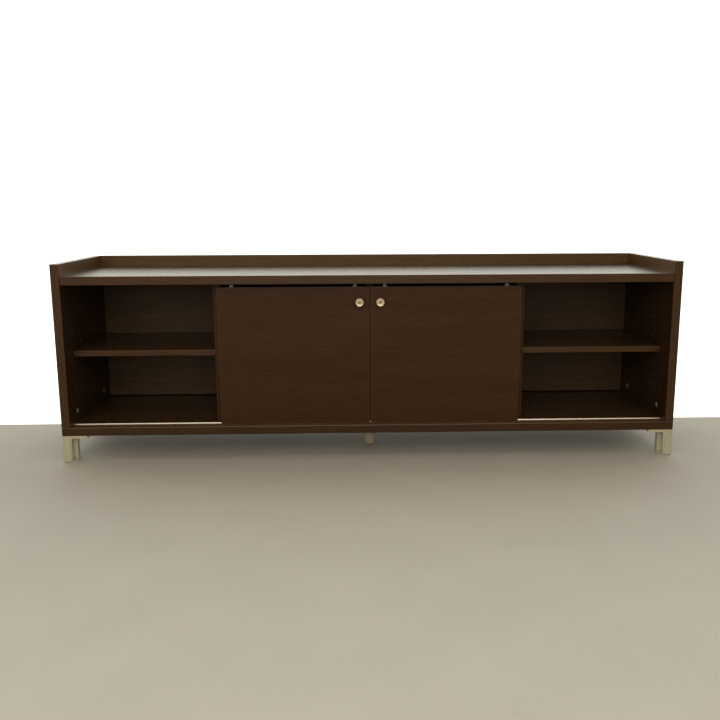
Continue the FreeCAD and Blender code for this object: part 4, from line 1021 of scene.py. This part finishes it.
# %% Centre leg and foot
CENTRE_Y, CENTRE_TOP = middle_of("centre_leg").y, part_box("centre_leg")[1].z
CENTRE_LEG = [(5.05, 10.5), (20.3, 10.5), (21, 11.2), (21, 74.6), (21.5, 75.5), (22.4, 76), (36, 76),
              (37, 77), (37, 80), (19, 80), (19, 18.5), (5.05, 18.5), (5.05, 10.5)]
centre = turned("centre_tube_leg", CENTRE_LEG, (0, CENTRE_Y, 0), sides=64, bored=True)
centre.data.materials.append(powder_coat)
SCREW_REACH = 28 * MM
reaches = [(SCREW_REACH, 0), (-SCREW_REACH, 0), (0, -SCREW_REACH), (0, SCREW_REACH)]
cut_away(centre, joined("drill", [rod("hole", (x, CENTRE_Y + y, CENTRE_TOP), **SCREW_HOLE)
                                  for x, y in reaches]), zinc)
smooth(centre)
stands_for(centre, "centre_leg", "carcass")
CENTRE_DISC = [(19.6, 0), (21, 1), (21, 9), (20.7, 9.7), (20, 10)]
foot = levelling_foot("centre_threaded_foot", CENTRE_DISC, (0, CENTRE_Y, 0),
                      stud_radius=5, pitch=1.5, stud_top=34)
stands_for(foot, "centre_foot", "centre_foot")

# %% [markdown]
# ## Small pieces
# Four soft buffers stop the doors at the end of their run. Each is a flat dome of rubber that is
# glued to a side panel.

# %% Buffers
BUFFER_RADIUS = 5
BUFFER = [(BUFFER_RADIUS, 0), (BUFFER_RADIUS, 1), (4.5, 1.6), (3.4, 1.9), (1.6, 2)]
low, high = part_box("door_bumpers")
left_buffers = [turned("buffer", BUFFER, (low.x, middle_of("door_bumpers").y, z), "X", sides=32)
                for z in (low.z + BUFFER_RADIUS * MM, high.z - BUFFER_RADIUS * MM)]
right_buffers = [another(buffer, "buffer", mirror=(-1, 1, 1)) for buffer in left_buffers]
buffers = joined("rubber_buffers", left_buffers + right_buffers)
buffers.data.materials.append(buffer_rubber)
smooth(buffers)
stands_for(buffers, "door_bumpers", "carcass")

# %% [markdown]
# The pieces that keep their CAD shape are those that are turned, stamped or cut to length: screws,
# dowels, housings, rollers, the rail and its channel. They only need their material.

# %% Finishes of the pieces that stay
KEPT = {"bottom_rail": rail_metal, "top_guide_track": dark_abs, "wood_dowels": beech,
        "cam_housings": cast_zinc}
for name in ("shelf_pins", "cam_bolts", "leg_screws", "centre_leg_screws"):
    KEPT[name] = zinc
for name in ("lock_strike", "strike_screws"):
    KEPT[name] = black_zinc
for side in ("left", "right"):
    KEPT[f"{side}_lock_plug"] = plug_metal
    KEPT[f"{side}_door_roller_housings"] = dark_abs
    for name in ("door_roller_axles", "door_roller_screws", "lock_nut", "lock_cam", "lock_cam_screw"):
        KEPT[f"{side}_{name}"] = zinc
    for place in ("outer", "inner"):
        KEPT[f"{side}_door_{place}_roller"] = white_nylon
for name, finish in KEPT.items():
    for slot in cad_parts[name].material_slots:
        slot.material = finish
print(len(KEPT), "CAD pieces dressed")

# %% [markdown]
# ## Size
# The last cell prints the size of what the scene shows.

# %% Sizes
put_down()
low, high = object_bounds()
print("visual size in mm:", [round(side / MM, 1) for side in high - low])
